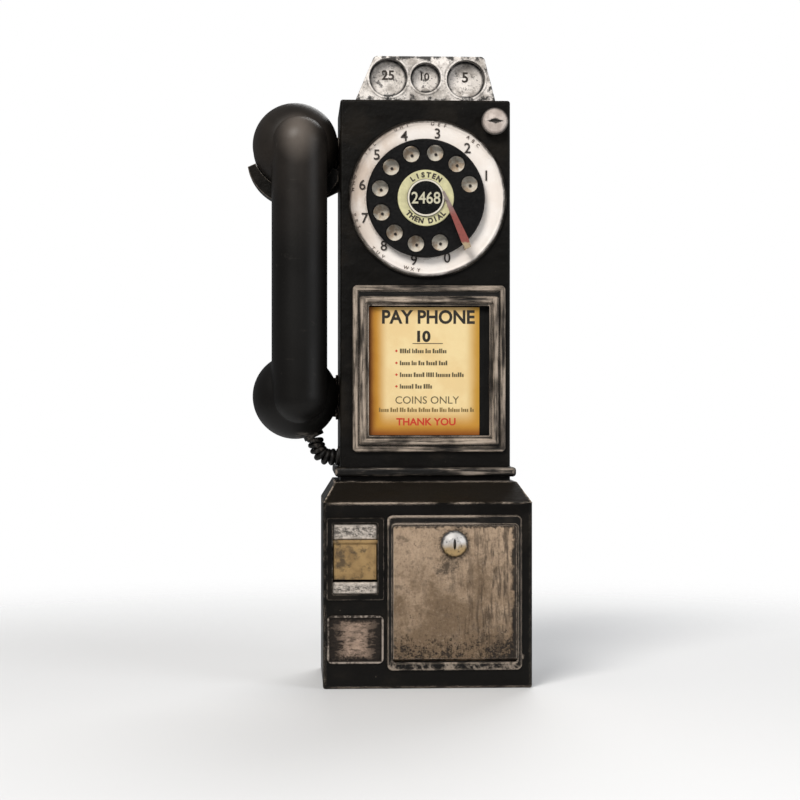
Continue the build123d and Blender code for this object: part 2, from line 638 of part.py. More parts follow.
def handset_rest():
    """Fixed casting behind the mouth cap, which keeps the hung handset off the side wall."""
    edge = [(-X_UPPER, 141.6), (-43.4, 141.0), (-52.0, 143.0), (-60.0, 138.0), (-60.0, 126.0), (-50.0, 121.4)]
    edge += [(-43.0, 122.8), (-X_UPPER, 122.4)]
    plate = slab_y(polygon(edge), (12.4, 16.8))
    return plate + block((-X_UPPER - 1.4, -X_UPPER), (10.4, 19.5), (121.4, 142.6))


def switch_springs():
    """Stack of leaf contacts that the hook's tail works."""
    stack = block((2.0, 8.0), (-1.6, 6.6), (228.0, 232.6))
    for i in range(3):
        x = 3.0 + 1.8 * i
        stack += block((x, x + 0.5), (0.2, 4.8), (232.0, 246.0))
    return stack + block((2.0, 8.0), (-4.0, -1.6), (228.0, 230.0))


# ---- the handset -------------------------------------------------------------------------------
def cup_dome(z, radius):
    """Rounded cup behind one end of the handle, with its open back."""
    plane = Plane(origin=(HANDSET_X, 0, z), x_dir=(0, 0, 1), z_dir=(-1, 0, 0))
    top = Y_CUP_FRONT - DOME_RISE
    slope = math.sqrt(0.5)
    dome = ThreePointArc((0, top), (radius * slope, Y_CUP_FRONT - DOME_RISE * slope), (radius, Y_CUP_FRONT))
    side = Polyline((radius, Y_CUP_FRONT), (radius, Y_CUP_BACK), (0, Y_CUP_BACK), (0, top))
    return revolve(plane * make_face(dome + side), Axis((HANDSET_X, 0, z), (0, 1, 0)), 360)


def handset_handle():
    """Handle with rounded ends that lie over the two cups."""
    plane = Plane(origin=(HANDLE_X, Y_HANDLE, (EAR_Z + MOUTH_Z) / 2), x_dir=(0, 0, 1), z_dir=(0, 1, 0))
    bar = extrude(plane * SlotOverall(EAR_Z - MOUTH_Z + HANDLE_W, HANDLE_W), amount=HANDLE_T)
    bar = fillet([e for e in bar.edges() if abs(e.center().Y - Y_HANDLE) < 0.01], HANDLE_FRONT_ROUND)
    back = Y_HANDLE + HANDLE_T
    bar = fillet([e for e in bar.edges() if abs(e.center().Y - back) < 0.01], HANDLE_BACK_ROUND)
    solid = bar + cup_dome(EAR_Z, EAR_R) + cup_dome(MOUTH_Z, MOUTH_R)
    for z, r in ((EAR_Z, EAR_R), (MOUTH_Z, MOUTH_R)):
        solid -= rod_y(HANDSET_X, z, r - 3.2, (-5.0, Y_CUP_BACK + 1))
    seam = [e for e in solid.edges() if Y_HANDLE + 1 < e.center().Y < Y_CUP_FRONT - 0.5]
    solid = fillet(seam, SEAM_ROUND)
    start, corner = CORD_ROUTE[:2]
    return solid - cord_stub(start, corner, 14.0, 1.6)


def cord_stub(start, corner, length, radius):
    """A round bar that runs back from the cord's start along the cord's first direction."""
    run = math.hypot(corner[0] - start[0], corner[1] - start[1])
    way = ((corner[0] - start[0]) / run, 0, (corner[1] - start[1]) / run)
    place = Plane(origin=(start[0], CORD_Y, start[1]), z_dir=(-way[0], 0, -way[2]))
    return extrude(place * Circle(radius), amount=length)


def handset_cap(z, radius, holes):
    """Screw-on cap with a rim, a shallow dish and a ring of sound holes."""
    face = Y_CUP_BACK + CAP_T
    outline = [(0, Y_CUP_BACK), (radius, Y_CUP_BACK), (radius, face - 2.0), (radius - 2.0, face)]
    outline += [(radius - 4.5, face), (radius - 7.0, face - 1.4), (0, face - 1.8)]
    cap = turned_y(HANDSET_X, z, outline)
    cap -= rod_y(HANDSET_X, z, radius - 3.4, (Y_CUP_BACK - 1, face - 3.4))
    for count, ring in holes:
        for i in range(count):
            x, zz = polar(ring, 360.0 / count * i, HANDSET_X, z)
            cap -= rod_y(x, zz, 0.8, (Y_CUP_BACK - 1, face + 1))
    return cap


def ear_cap():
    return handset_cap(EAR_Z, EAR_R, ((1, 0), (6, 5.0)))


def mouth_cap():
    return handset_cap(MOUTH_Z, MOUTH_R, ((1, 0), (6, 4.0), (12, 8.0)))


def capsule(z, radius, thickness):
    """Sound capsule seated in a cup of the handset."""
    back = Y_CUP_BACK + CAP_T - 3.6
    body = rod_y(HANDSET_X, z, radius, (back - thickness, back))
    return body + rod_y(HANDSET_X, z, radius - 5.0, (-4.8, back - thickness))


def receiver_capsule():
    return capsule(EAR_Z, EAR_R - 3.7, 4.2)


def transmitter_capsule():
    return capsule(MOUTH_Z, MOUTH_R - 3.7, 5.0)


# ---- the cord -----------------------------------------------------------------------------------
def cord_boot():
    """Collar on the mouth cup where the cord leaves it."""
    start, corner = CORD_ROUTE[:2]
    collar = cord_stub(start, corner, 3.4, 4.8)
    return collar - rod_y(HANDSET_X, MOUTH_Z, MOUTH_R, (Y_CUP_FRONT, Y_CUP_BACK + CAP_T))


def handset_cord():
    """The short curly cord as one tube of its outer diameter."""
    run = min(math.dist(CORD_ROUTE[0], CORD_ROUTE[1]), math.dist(CORD_ROUTE[1], CORD_ROUTE[2]))
    first = math.atan2(CORD_ROUTE[1][1] - CORD_ROUTE[0][1], CORD_ROUTE[1][0] - CORD_ROUTE[0][0])
    last = math.atan2(CORD_ROUTE[2][1] - CORD_ROUTE[1][1], CORD_ROUTE[2][0] - CORD_ROUTE[1][0])
    radius = 0.45 * run / math.tan(abs(last - first) / 2)
    points = [(x, CORD_Y, z) for x, z in CORD_ROUTE]
    path = FilletPolyline(*points, radius=radius)
    print("cord arc radius", round(radius, 1), "length", round(path.length, 1))
    tube = sweep(Plane(origin=path @ 0, z_dir=path % 0) * Circle(CORD_R), path=path)
    print("cord volume ratio", round(tube.volume / (math.pi * CORD_R**2 * path.length), 4))
    return tube


def cord_grommet():
    """Rubber ring in the side wall."""
    x = -X_UPPER
    z = CORD_ROUTE[-1][1]
    flange = rod_x(CORD_Y, z, GROMMET_R, (x - 0.8, x + WALL)) + rod_x(CORD_Y, z, 6.4, (x + WALL, x + WALL + 1.4))
    return flange - rod_x(CORD_Y, z, CORD_R + 0.03, (x - 2, x + 8))


def terminal_strip():
    strip = block((-30.0, -8.0), (29.5, Y_PLATE), (96.0, 106.0))
    for i in range(4):
        strip += rod_y(-27.0 + 5.4 * i, 101.0, 1.5, (28.0, 29.5))
    return strip


def induction_coil():
    core = block((8.0, 30.0), (24.0, Y_PLATE), (97.0, 108.0))
    return core + rod_x(29.5, 102.5, 7.2, (11.0, 27.0)) - block((0, 40), (Y_PLATE, 50), (80, 130))


# ---- the front of the lower housing ---------------------------------------------------------------
def vault_frame():
    """Raised border around the vault door."""
    outer = rounded(BORDER_X, BORDER_Z, 2.6)
    inner = rounded(grown(DOOR_X, 0.3), grown(DOOR_Z, 0.3), 1.4)
    ring = ring_section(outer, inner, (Y_TRIM, Y_BASE))
    return chamfer([e for e in ring.edges() if abs(e.center().Y - Y_TRIM) < 0.01], 0.45)


def vault_door():
    """Vault door panel, bored along its lower edge for the hinge pin."""
    back = Y_DOOR + DOOR_T
    panel = slab_y(rounded(DOOR_X, DOOR_Z, 1.2), (Y_DOOR, back))
    low, toe = DOOR_Z[0] - 0.1, 1.6
    panel -= slab_x(polygon([(Y_DOOR - 0.1, low), (Y_DOOR + toe, low), (Y_DOOR - 0.1, low + toe)]), grown(DOOR_X, 1))
    panel -= rod_x(*DOOR_PIVOT, HINGE_PIN_R + RUNNING, grown(DOOR_X, 1))
    return panel - rod_y(LOCK_X, LOCK_Z, 4.3, (Y_DOOR - 1, back + 1))


def hinge_pin():
    """Full-width pin that the vault door turns on, held in the jambs of the opening."""
    return rod_x(*DOOR_PIVOT, HINGE_PIN_R, HINGE_SPAN)


def lock_barrel():
    """Domed lock body, swaged over behind the door."""
    back = Y_DOOR + DOOR_T
    outline = [(PLUG_R + RUNNING, back + 1.2), (5.4, back + 1.2), (5.4, back), (4.25, back), (4.25, Y_DOOR)]
    outline += [(6.1, Y_DOOR), (6.1, Y_DOOR - 1.2)]
    outline += [(5.0, Y_DOOR - 2.3), (PLUG_R + RUNNING, Y_DOOR - 2.9)]
    return turned_y(LOCK_X, LOCK_Z, outline)


def lock_plug():
    """Turning plug with a keyway."""
    front = Y_DOOR - 2.9
    plug = turned_y(LOCK_X, LOCK_Z, [(0, -31.1), (PLUG_R, -31.1), (PLUG_R, front), (0, front - 0.35)])
    return plug - slab_y(Pos(LOCK_X, LOCK_Z) * Ellipse(0.65, 2.4), (front - 2, front + 3.5))


def lock_cam():
    """Cam on the end of the plug. It lies level when the door is free to open."""
    arm = slab_y(rounded((LOCK_X - 4.0, LOCK_X + 13.0), (LOCK_Z - 3.2, LOCK_Z + 3.2), 2.8), (-31.1, -30.0))
    return arm + rod_y(LOCK_X, LOCK_Z, 2.0, (-30.0, -29.2))


def coin_box():
    """Open-topped tray that collects the coins behind the vault door."""
    x, y, z = (-13.0, 38.0), (-26.5, 26.0), (2.6, 52.0)
    return block(x, y, z) - block(grown(x, -1.2), grown(y, -1.2), (z[0] + 1.2, z[1] + 1))


def return_cup():
    """Coin return recess with a thin border, open to the front and to the return chute above."""
    y = (Y_BASE, -17.0)
    cup = block(RETURN_X, y, RETURN_Z)
    cup -= block(grown(RETURN_X, -1.0), (y[0] - 1, y[1] - 1.0), grown(RETURN_Z, -1.0))
    cup -= block((-36.6, -27.8), (-28.4, -19.6), (RETURN_Z[1] - 2, RETURN_Z[1] + 1))
    cup -= rod_x(*FLAP_PIVOT, FLAP_PIN_R + RUNNING, grown(RETURN_X, 1))
    front = Y_BASE - 0.7
    border = ring_section(rounded((-45.9, -19.9), (40.2, 77.4), 1.2), rounded(grown(RETURN_X, -1.0), (42.9, 75.0), 0.6),
                          (front, Y_BASE))
    cup += chamfer([e for e in border.edges() if abs(e.center().Y - front) < 0.01], 0.25)
    return cup


def return_bar():
    """Bright header over the flap."""
    bar = block(grown(RETURN_X, -1.1), (-35.7, -33.9), (67.7, 74.6))
    return chamfer([e for e in bar.edges() if e.center().Y < -35.6], 0.4)


def return_lip():
    """Bright lower lip of the coin return."""
    lip = block(grown(RETURN_X, -1.1), (-36.4, -34.6), (43.0, 48.3))
    return fillet([e for e in lip.edges().filter_by(Axis.X) if e.center().Y < -36.3], 0.8)


def return_flap():
    """Swinging flap, bowed outwards, on two stub pins."""
    pivot_y, pivot_z = FLAP_PIVOT
    front, back, low = pivot_y + 0.1, pivot_y + 1.3, 49.4
    bow = ThreePointArc((front, pivot_z), (front - 0.6, 58.0), (front, low))
    inner = ThreePointArc((back, low), (back - 0.6, 58.0), (back, pivot_z))
    ends = Line((front, low), (back, low)) + Line((back, pivot_z), (front, pivot_z))
    width = grown(RETURN_X, -1.5)
    flap = slab_x(make_face(bow + inner + ends), width) + rod_x(pivot_y, pivot_z, 0.95, width)
    return flap + rod_x(pivot_y, pivot_z, FLAP_PIN_R, grown(RETURN_X, -0.2))


def lower_panel():
    """Blank cover plate below the coin return, with a raised rim."""
    front = Y_BASE - 0.8
    rim = ring_section(rounded(PANEL_X, PANEL_Z, 2.6), rounded(grown(PANEL_X, -1.2), grown(PANEL_Z, -1.2), 1.4),
                       (front, Y_BASE))
    rim = chamfer([e for e in rim.edges() if abs(e.center().Y - front) < 0.01], 0.25)
    return rim + slab_y(rounded(grown(PANEL_X, -1.1), grown(PANEL_Z, -1.1), 1.5), (Y_BASE - 0.1, Y_BASE + 0.8))


NODES = [
    upper_housing, lower_housing, collar_bead, back_plate, back_plate_screws, dial_bezel, coin_head, coin_chute,
    coin_hopper, coin_relay, coin_trap, return_chute, coin_bell, coin_gong, number_plate, finger_wheel, dial_card,
    card_badge, dial_shaft, main_gear, governor, dial_frame, dial_spring, pulse_contacts, finger_stop, card_frame,
    card_backing, instruction_card, knob_bush, release_knob, release_spring, hook_cradle, hook_lever, hook_frame,
    hook_bracket, handset_rest, switch_springs, handset_handle, ear_cap, mouth_cap, receiver_capsule, transmitter_capsule,
    cord_boot, handset_cord, cord_grommet, terminal_strip, induction_coil, vault_frame, vault_door, hinge_pin,
    lock_barrel, lock_plug, lock_cam, coin_box, return_cup, return_bar, return_lip, return_flap,
    lower_panel,
]


def main():
    os.makedirs("parts", exist_ok=True)
    for make in NODES:
        export_step(make(), f"parts/{make.__name__}.step")


main()
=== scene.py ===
"""Looks for the payphone: materials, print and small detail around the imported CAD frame.

Everything is in metres in the CAD frame: +Z up, the front faces -Y, X is positive to the viewer's right.
"""

import math
import random

import bmesh
import bpy
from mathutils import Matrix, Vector


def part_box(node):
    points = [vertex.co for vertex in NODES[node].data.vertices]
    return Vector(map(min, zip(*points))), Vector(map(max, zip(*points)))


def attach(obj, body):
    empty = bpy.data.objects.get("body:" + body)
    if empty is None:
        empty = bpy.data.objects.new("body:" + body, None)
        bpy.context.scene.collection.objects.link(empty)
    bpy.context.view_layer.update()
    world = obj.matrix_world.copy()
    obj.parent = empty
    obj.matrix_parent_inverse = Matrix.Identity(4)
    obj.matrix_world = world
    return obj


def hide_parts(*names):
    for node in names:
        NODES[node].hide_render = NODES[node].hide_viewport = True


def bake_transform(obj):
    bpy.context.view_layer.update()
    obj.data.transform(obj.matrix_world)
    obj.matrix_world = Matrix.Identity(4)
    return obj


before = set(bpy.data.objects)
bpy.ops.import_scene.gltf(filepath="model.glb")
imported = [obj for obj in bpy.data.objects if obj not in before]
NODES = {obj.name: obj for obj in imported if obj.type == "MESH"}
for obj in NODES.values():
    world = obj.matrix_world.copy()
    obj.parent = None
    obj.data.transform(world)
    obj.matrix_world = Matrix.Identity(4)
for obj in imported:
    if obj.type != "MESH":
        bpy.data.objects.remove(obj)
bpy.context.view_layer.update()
MM = 0.001

# ---- the camera ------------------------------------------------------------------------------
CAMERA_AIM = Vector((-0.0127, -0.0362, 0.1307))
CAMERA_DISTANCE = 0.9
CAMERA_TURN = math.radians(-3.0)
FIELD_WIDTH = 0.362
SENSOR = 36.0


def add_camera():
    """A level camera that looks at the aim point from a little to the left of the front."""
    data = bpy.data.cameras.new("camera")
    data.sensor_width = SENSOR
    data.lens = SENSOR * CAMERA_DISTANCE / FIELD_WIDTH
    data.clip_end = 20.0
    cam = bpy.data.objects.new("camera", data)
    away = Vector((math.sin(CAMERA_TURN), -math.cos(CAMERA_TURN), 0.0))
    cam.location = CAMERA_AIM + CAMERA_DISTANCE * away
    cam.rotation_euler = (math.radians(90), 0.0, CAMERA_TURN)
    bpy.context.scene.collection.objects.link(cam)
    bpy.context.scene.camera = cam


add_camera()

# ---- the cord ----------------------------------------------------------------------------------
CORD_ROUTE = [(-0.0510, 0.0, 0.1132), (-0.0496, 0.0, 0.1068), (-0.0458, 0.0, 0.1036), (-0.0395, 0.0, 0.1043),
              (-0.0336, 0.0, 0.1045)]
WIRE_R = 0.0012
COIL_R = 0.004 - WIRE_R
COIL_TURNS = 9
STEPS_PER_TURN = 30
WIRE_SIDES = 12


def route_points(route):
    """Points along the smooth NURBS line that has the route's points as its control points."""
    curve = bpy.data.curves.new("route", "CURVE")
    curve.dimensions = "3D"
    curve.resolution_u = 64
    spline = curve.splines.new("NURBS")
    spline.points.add(len(route) - 1)
    for point, place in zip(spline.points, route):
        point.co = (*place, 1.0)
    spline.order_u = 3
    spline.use_endpoint_u = True
    holder = bpy.data.objects.new("route", curve)
    bpy.context.scene.collection.objects.link(holder)
    bpy.context.view_layer.update()
    mesh = bpy.data.meshes.new_from_object(holder)
    points = [v.co.copy() for v in mesh.vertices]
    bpy.data.objects.remove(holder)
    return points


def along(points, share):
    """The place and direction at a share of the length of a line of points."""
    lengths = [0.0]
    for a, b in zip(points, points[1:]):
        lengths.append(lengths[-1] + (b - a).length)
    goal = share * lengths[-1]
    i = max(0, min(len(points) - 2, sum(1 for x in lengths[1:] if x < goal)))
    step = points[i + 1] - points[i]
    return points[i] + step * ((goal - lengths[i]) / step.length), step.normalized()


def helix_points(points):
    """The curly wire's centreline around the route. The route lies in the XZ plane."""
    side = Vector((0.0, 1.0, 0.0))
    total = COIL_TURNS * STEPS_PER_TURN
    line = []
    for i in range(total + 1):
        place, way = along(points, i / total)
        up = side.cross(way).normalized()
        turn = 2 * math.pi * i / STEPS_PER_TURN
        line.append(place + COIL_R * (math.cos(turn) * side + math.sin(turn) * up))
    return line


def mesh_object(name, vertices, faces, smooth=True):
    """An object with a new mesh, linked to the scene."""
    mesh = bpy.data.meshes.new(name)
    mesh.from_pydata([tuple(v) for v in vertices], [], faces)
    mesh.validate()
    if smooth:
        mesh.shade_smooth()
    else:
        mesh.shade_flat()
    made = bpy.data.objects.new(name, mesh)
    bpy.context.scene.collection.objects.link(made)
    return made


def tube(name, line, radius, sides):
    """A round tube along a line, with closed ends."""
    vertices, faces = [], []
    normal = Vector((0.0, 1.0, 0.0))
    last = len(line) - 1
    for i, place in enumerate(line):
        way = (line[min(i + 1, last)] - line[max(i - 1, 0)]).normalized()
        normal = (normal - way * normal.dot(way)).normalized()
        other = way.cross(normal)
        for k in range(sides):
            a = 2 * math.pi * k / sides
            vertices.append(place + radius * (math.cos(a) * normal + math.sin(a) * other))
    for i in range(last):
        for k in range(sides):
            a, b = i * sides + k, i * sides + (k + 1) % sides
            faces.append((a, b, b + sides, a + sides))
    faces.append(tuple(range(sides))[::-1])
    faces.append(tuple(last * sides + k for k in range(sides)))
    return mesh_object(name, vertices, faces)


def add_cord():
    """The curly cord from the mouth cup to the side wall."""
    line = helix_points(route_points(CORD_ROUTE))
    cord = tube("curly_cord", line, WIRE_R, WIRE_SIDES)
    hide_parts("handset_cord")
    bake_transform(cord)
    return cord


CORD = add_cord()

# ---- materials ---------------------------------------------------------------------------------
# Each material is a base tone, with each kind of wear or dirt, and in some painted light and shade, mixed
# over it by a mask from 0 to 1.
BLACK = (0.0032, 0.0026, 0.0019)
BROWN_BLACK = (0.0120, 0.0092, 0.0064)
WORN = (0.36, 0.30, 0.245)
RUBBED = (0.60, 0.49, 0.390)
SOOT = (0.0046, 0.0039, 0.0034)
STREAK_LENGTH = 0.026


class Shade:
    """Builds one procedural material on the Principled shader."""

    def __init__(self, name, rough=0.5, metal=0.0, **sockets):
        self.material = bpy.data.materials.new(name)
        self.material.use_nodes = True
        self.tree = self.material.node_tree
        self.shader = self.tree.nodes["Principled BSDF"]
        self.shader.inputs["Roughness"].default_value = rough
        self.shader.inputs["Metallic"].default_value = metal
        for socket, value in sockets.items():
            self.shader.inputs[socket.replace("_", " ")].default_value = value
        self.place = self.add("ShaderNodeTexCoord").outputs["Object"]

    def add(self, kind, **settings):
        """A new node with its settings."""
        made = self.tree.nodes.new(kind)
        for name, value in settings.items():
            setattr(made, name, value)
        return made

    def put(self, source, target):
        """Links a socket, or sets a plain value."""
        if isinstance(source, bpy.types.NodeSocket):
            self.tree.links.new(source, target)
        elif hasattr(source, "__len__") and len(source) == 3 and target.type == "RGBA":
            target.default_value = (*source, 1.0)
        else:
            target.default_value = source

    def math(self, operation, a, b=0.0):
        node = self.add("ShaderNodeMath", operation=operation)
        for value, target in zip((a, b), node.inputs):
            self.put(value, target)
        return node.outputs[0]

    def chain(self, operation, values):
        """One operation over any number of values."""
        total = values[0]
        for value in values[1:]:
            total = self.math(operation, total, value)
        return total

    def plus(self, *values):
        return self.chain("ADD", values)

    def minus(self, a, b):
        return self.math("SUBTRACT", a, b)

    def times(self, *values):
        return self.chain("MULTIPLY", values)

    def most(self, *values):
        return self.chain("MAXIMUM", values)

    def least(self, *values):
        return self.chain("MINIMUM", values)

    def distance(self, a, b):
        """The length of a flat step with these two sides."""
        return self.math("SQRT", self.plus(self.times(a, a), self.times(b, b)))

    def noise(self, size, detail=4.0, rough=0.55, stretch=(1.0, 1.0, 1.0), shift=0.0):
        """Noise with features of about a size in metres, drawn out along an axis by its stretch."""
        mapping = self.add("ShaderNodeMapping")
        mapping.inputs["Location"].default_value = (shift, shift * 0.7, shift * 1.3)
        mapping.inputs["Scale"].default_value = [1.0 / (size * s) for s in stretch]
        self.put(self.place, mapping.inputs["Vector"])
        noise = self.add("ShaderNodeTexNoise")
        noise.inputs["Scale"].default_value = 1.0
        noise.inputs["Detail"].default_value = detail
        noise.inputs["Roughness"].default_value = rough
        self.put(mapping.outputs[0], noise.inputs["Vector"])
        return noise.outputs["Fac"]

    def jitter(self, noise, reach):
        """Noise about zero, for wandering borders."""
        return self.times(self.minus(noise, 0.5), reach)

    def span(self, value, low, high, to_low=0.0, to_high=1.0):
        """A smooth step of a value between two limits."""
        node = self.add("ShaderNodeMapRange", interpolation_type="SMOOTHSTEP", clamp=True)
        for target, number in zip(("Value", "From Min", "From Max", "To Min", "To Max"),
                                  (value, low, high, to_low, to_high)):
            self.put(number, node.inputs[target])
        return node.outputs[0]

    def mix(self, factor, a, b):
        """A colour between two colours."""
        node = self.add("ShaderNodeMix", data_type="RGBA", clamp_factor=True)
        self.put(factor, node.inputs[0])
        self.put(a, node.inputs[6])
        self.put(b, node.inputs[7])
        return node.outputs[2]

    def blend(self, factor, a, b):
        """A number between two numbers."""
        return self.plus(self.times(self.minus(1.0, factor), a), self.times(factor, b))

    def edges(self, radius, gain=6.0):
        """1 along sharp edges, 0 on flat ground."""
        bevel = self.add("ShaderNodeBevel", samples=6)
        bevel.inputs["Radius"].default_value = radius
        normal = self.add("ShaderNodeNewGeometry").outputs["Normal"]
        dot = self.add("ShaderNodeVectorMath", operation="DOT_PRODUCT")
        self.put(bevel.outputs[0], dot.inputs[0])
        self.put(normal, dot.inputs[1])
        return self.times(self.minus(1.0, dot.outputs["Value"]), gain)

    def hollow(self, distance):
        """1 in crevices, 0 on open ground."""
        shadow = self.add("ShaderNodeAmbientOcclusion", samples=6, only_local=False)
        shadow.inputs["Distance"].default_value = distance
        return self.minus(1.0, shadow.outputs["AO"])

    def axis(self, index):
        """A coordinate in the shared frame."""
        split = self.add("ShaderNodeSeparateXYZ")
        self.put(self.place, split.inputs[0])
        return split.outputs[index]

    def normal(self, index):
        """One part of the surface's direction."""
        split = self.add("ShaderNodeSeparateXYZ")
        self.put(self.add("ShaderNodeNewGeometry").outputs["Normal"], split.inputs[0])
        return split.outputs[index]

    def inside(self, index, low, high):
        """Distance in from the nearer of two limits on one axis."""
        off = self.math("ABSOLUTE", self.minus(self.axis(index), (low[index] + high[index]) / 2))
        return self.minus((high[index] - low[index]) / 2, off)

    def share(self, index, low, high):
        """0 at the lower of two limits on one axis, 1 at the upper."""
        return self.math("DIVIDE", self.minus(self.axis(index), low[index]), high[index] - low[index])

    def radial(self, x, z):
        """Distance from an axis along Y."""
        return self.distance(self.minus(self.axis(0), x), self.minus(self.axis(2), z))

    def colour(self, value):
        self.put(value, self.shader.inputs["Base Color"])
        return self

    def rough(self, value):
        self.put(value, self.shader.inputs["Roughness"])
        return self

    def metal(self, value):
        self.put(value, self.shader.inputs["Metallic"])
        return self

    def bump(self, height, depth):
        """A fine relief of a depth in metres."""
        node = self.add("ShaderNodeBump")
        node.inputs["Strength"].default_value = 1.0
        node.inputs["Distance"].default_value = depth
        self.put(height, node.inputs["Height"])
        self.put(node.outputs[0], self.shader.inputs["Normal"])
        return self


def centre_of(name):
    low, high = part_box(name)
    return (low + high) / 2


def radius_of(name):
    """The radius of a round node that faces the front."""
    low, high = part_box(name)
    return (high.x - low.x) / 2


def paint(material, *names):
    """Gives CAD nodes one material."""
    for name in names:
        mesh = NODES[name].data
        mesh.materials.clear()
        mesh.materials.append(material)


def black_paint(name, wear=1.0, radius=0.0012, sheen=0.45, shift=0.0, pale=WORN, gain=6.0):
    """Black paint with wear: brown-black patches, faces that point up painted lighter as painted light from
    above, pale rubbed edges, faint pits.
    """
    s = Shade(name, sheen, Specular_IOR_Level=0.13)
    patches = s.span(s.noise(0.022, 5, 0.6, shift=shift), 0.48, 0.70)
    scuffs = s.noise(0.006, 6, 0.65, stretch=(3.0, 1.0, 1.0), shift=shift + 3)
    fine = s.noise(0.0016, 4, 0.7, shift=shift + 7)
    # painted light: faces that point up are painted lighter brown-black, as if lit from above
    up = s.span(s.normal(2), 0.25, 0.6, 0.0, 0.8)
    base = s.mix(s.most(s.times(patches, 0.75), up), BLACK, BROWN_BLACK)
    edge = s.span(s.edges(radius, gain), 0.22, 0.8)
    rub_and_painted_highlight = s.times(edge, s.span(scuffs, 0.38, 0.58), s.span(fine, 0.28, 0.55, 0.4, 1.0))
    speck = s.times(s.span(fine, 0.68, 0.76), s.span(scuffs, 0.5, 0.62, 0.0, 0.3))
    rub_and_painted_highlight = s.times(s.most(rub_and_painted_highlight, speck), wear)
    s.colour(s.mix(rub_and_painted_highlight, base, pale))
    s.rough(s.plus(s.span(scuffs, 0.3, 0.7, sheen - 0.1, sheen + 0.14), s.times(rub_and_painted_highlight, 0.1)))
    return s.bump(s.plus(s.noise(0.004, 5, 0.6), s.times(fine, 0.35)), 0.00035).material


def rubbed_moulding(name, node, depth, amount=0.42, shift=0.0, pale=RUBBED):
    """Silver-brown rubbed along the ridges of a moulding, black in its grooves."""
    low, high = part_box(node)
    size = 0.0020
    s = Shade(name, 0.42, Specular_IOR_Level=0.25)
    upright = s.span(s.minus(s.inside(2, low, high), s.inside(0, low, high)), -0.001, 0.001)
    across = s.noise(size, 6, 0.62, stretch=(STREAK_LENGTH / size, 1.0, 1.0), shift=shift)
    down = s.noise(size, 6, 0.62, stretch=(1.0, 1.0, STREAK_LENGTH / size), shift=shift + 2)
    streak = s.blend(upright, across, down)
    broad = s.noise(0.016, 5, 0.6, shift=shift + 5)
    fine = s.noise(0.0010, 5, 0.7, shift=shift + 8)
    crest = s.span(s.axis(1), low.y + depth, low.y + 0.15 * depth, 0.0, 0.85)
    edge = s.span(s.edges(0.0012), 0.2, 0.8)
    kept = s.span(s.plus(streak, s.jitter(broad, 0.40)), amount - 0.10, amount + 0.12)
    rub_and_painted_highlight = s.times(s.most(crest, edge), kept)
    rub_and_painted_highlight = s.times(rub_and_painted_highlight, s.span(fine, 0.26, 0.46, 0.35, 1.0))
    rub_and_painted_highlight = s.times(rub_and_painted_highlight, s.span(s.hollow(0.0025), 0.75, 0.45))
    dull = tuple(0.3 * c for c in pale)
    tone = s.mix(s.span(s.plus(streak, s.jitter(broad, 0.5)), 0.42, 0.66), dull, pale)
    base = s.mix(s.span(broad, 0.45, 0.7), BLACK, BROWN_BLACK)
    s.colour(s.mix(rub_and_painted_highlight, base, tone)).metal(s.times(rub_and_painted_highlight, 0.3))
    s.rough(s.span(streak, 0.3, 0.7, 0.38, 0.55))
    return s.bump(s.plus(streak, s.times(fine, 0.4)), 0.0004).material


def plain(name, tone, rough, metal=0.0, vary=0.25, size=0.006, depth=0.0001, stretch=(1.0, 1.0, 1.0),
          shine=0.4):
    """One tone with soft variation, painted shade in crevices and a fine surface."""
    s = Shade(name, rough, metal, Specular_IOR_Level=shine)
    cloud = s.span(s.noise(size, 5, 0.6, stretch=stretch), 0.3, 0.7)
    grain = s.noise(size / 8, 4, 0.6, stretch=stretch)
    light = tuple(min(1.0, c * (1 + vary)) for c in tone)
    dark = tuple(c * (1 - vary) for c in tone)
    deep = tuple(0.3 * c for c in tone)
    # painted shade: crevices found by ambient occlusion are painted darker, towards a deep version of the
    # tone
    mixed_with_painted_light = s.mix(s.span(s.hollow(0.002), 0.4, 0.8, 0.0, 0.6), s.mix(cloud, dark, light), deep)
    s.colour(mixed_with_painted_light).rough(s.span(grain, 0.3, 0.7, rough - 0.06, rough + 0.08))
    return s.bump(s.plus(grain, cloud), depth).material


# ---- painted and plated parts --------------------------------------------------------------------
WHEEL = centre_of("finger_wheel")
PLATE = centre_of("number_plate")
PLATE_R = radius_of("number_plate")
LOCK = centre_of("lock_barrel")
LOCK_R = radius_of("lock_barrel")
# x, z and radius of the three coin wells, in mm
WELLS = ((-17.0, 280.0, 8.9), (0.3, 280.0, 7.0), (19.0, 279.4, 8.9))
WELL_DEPTH = 4.8 * MM
WELL_RIM = 0.35 * MM


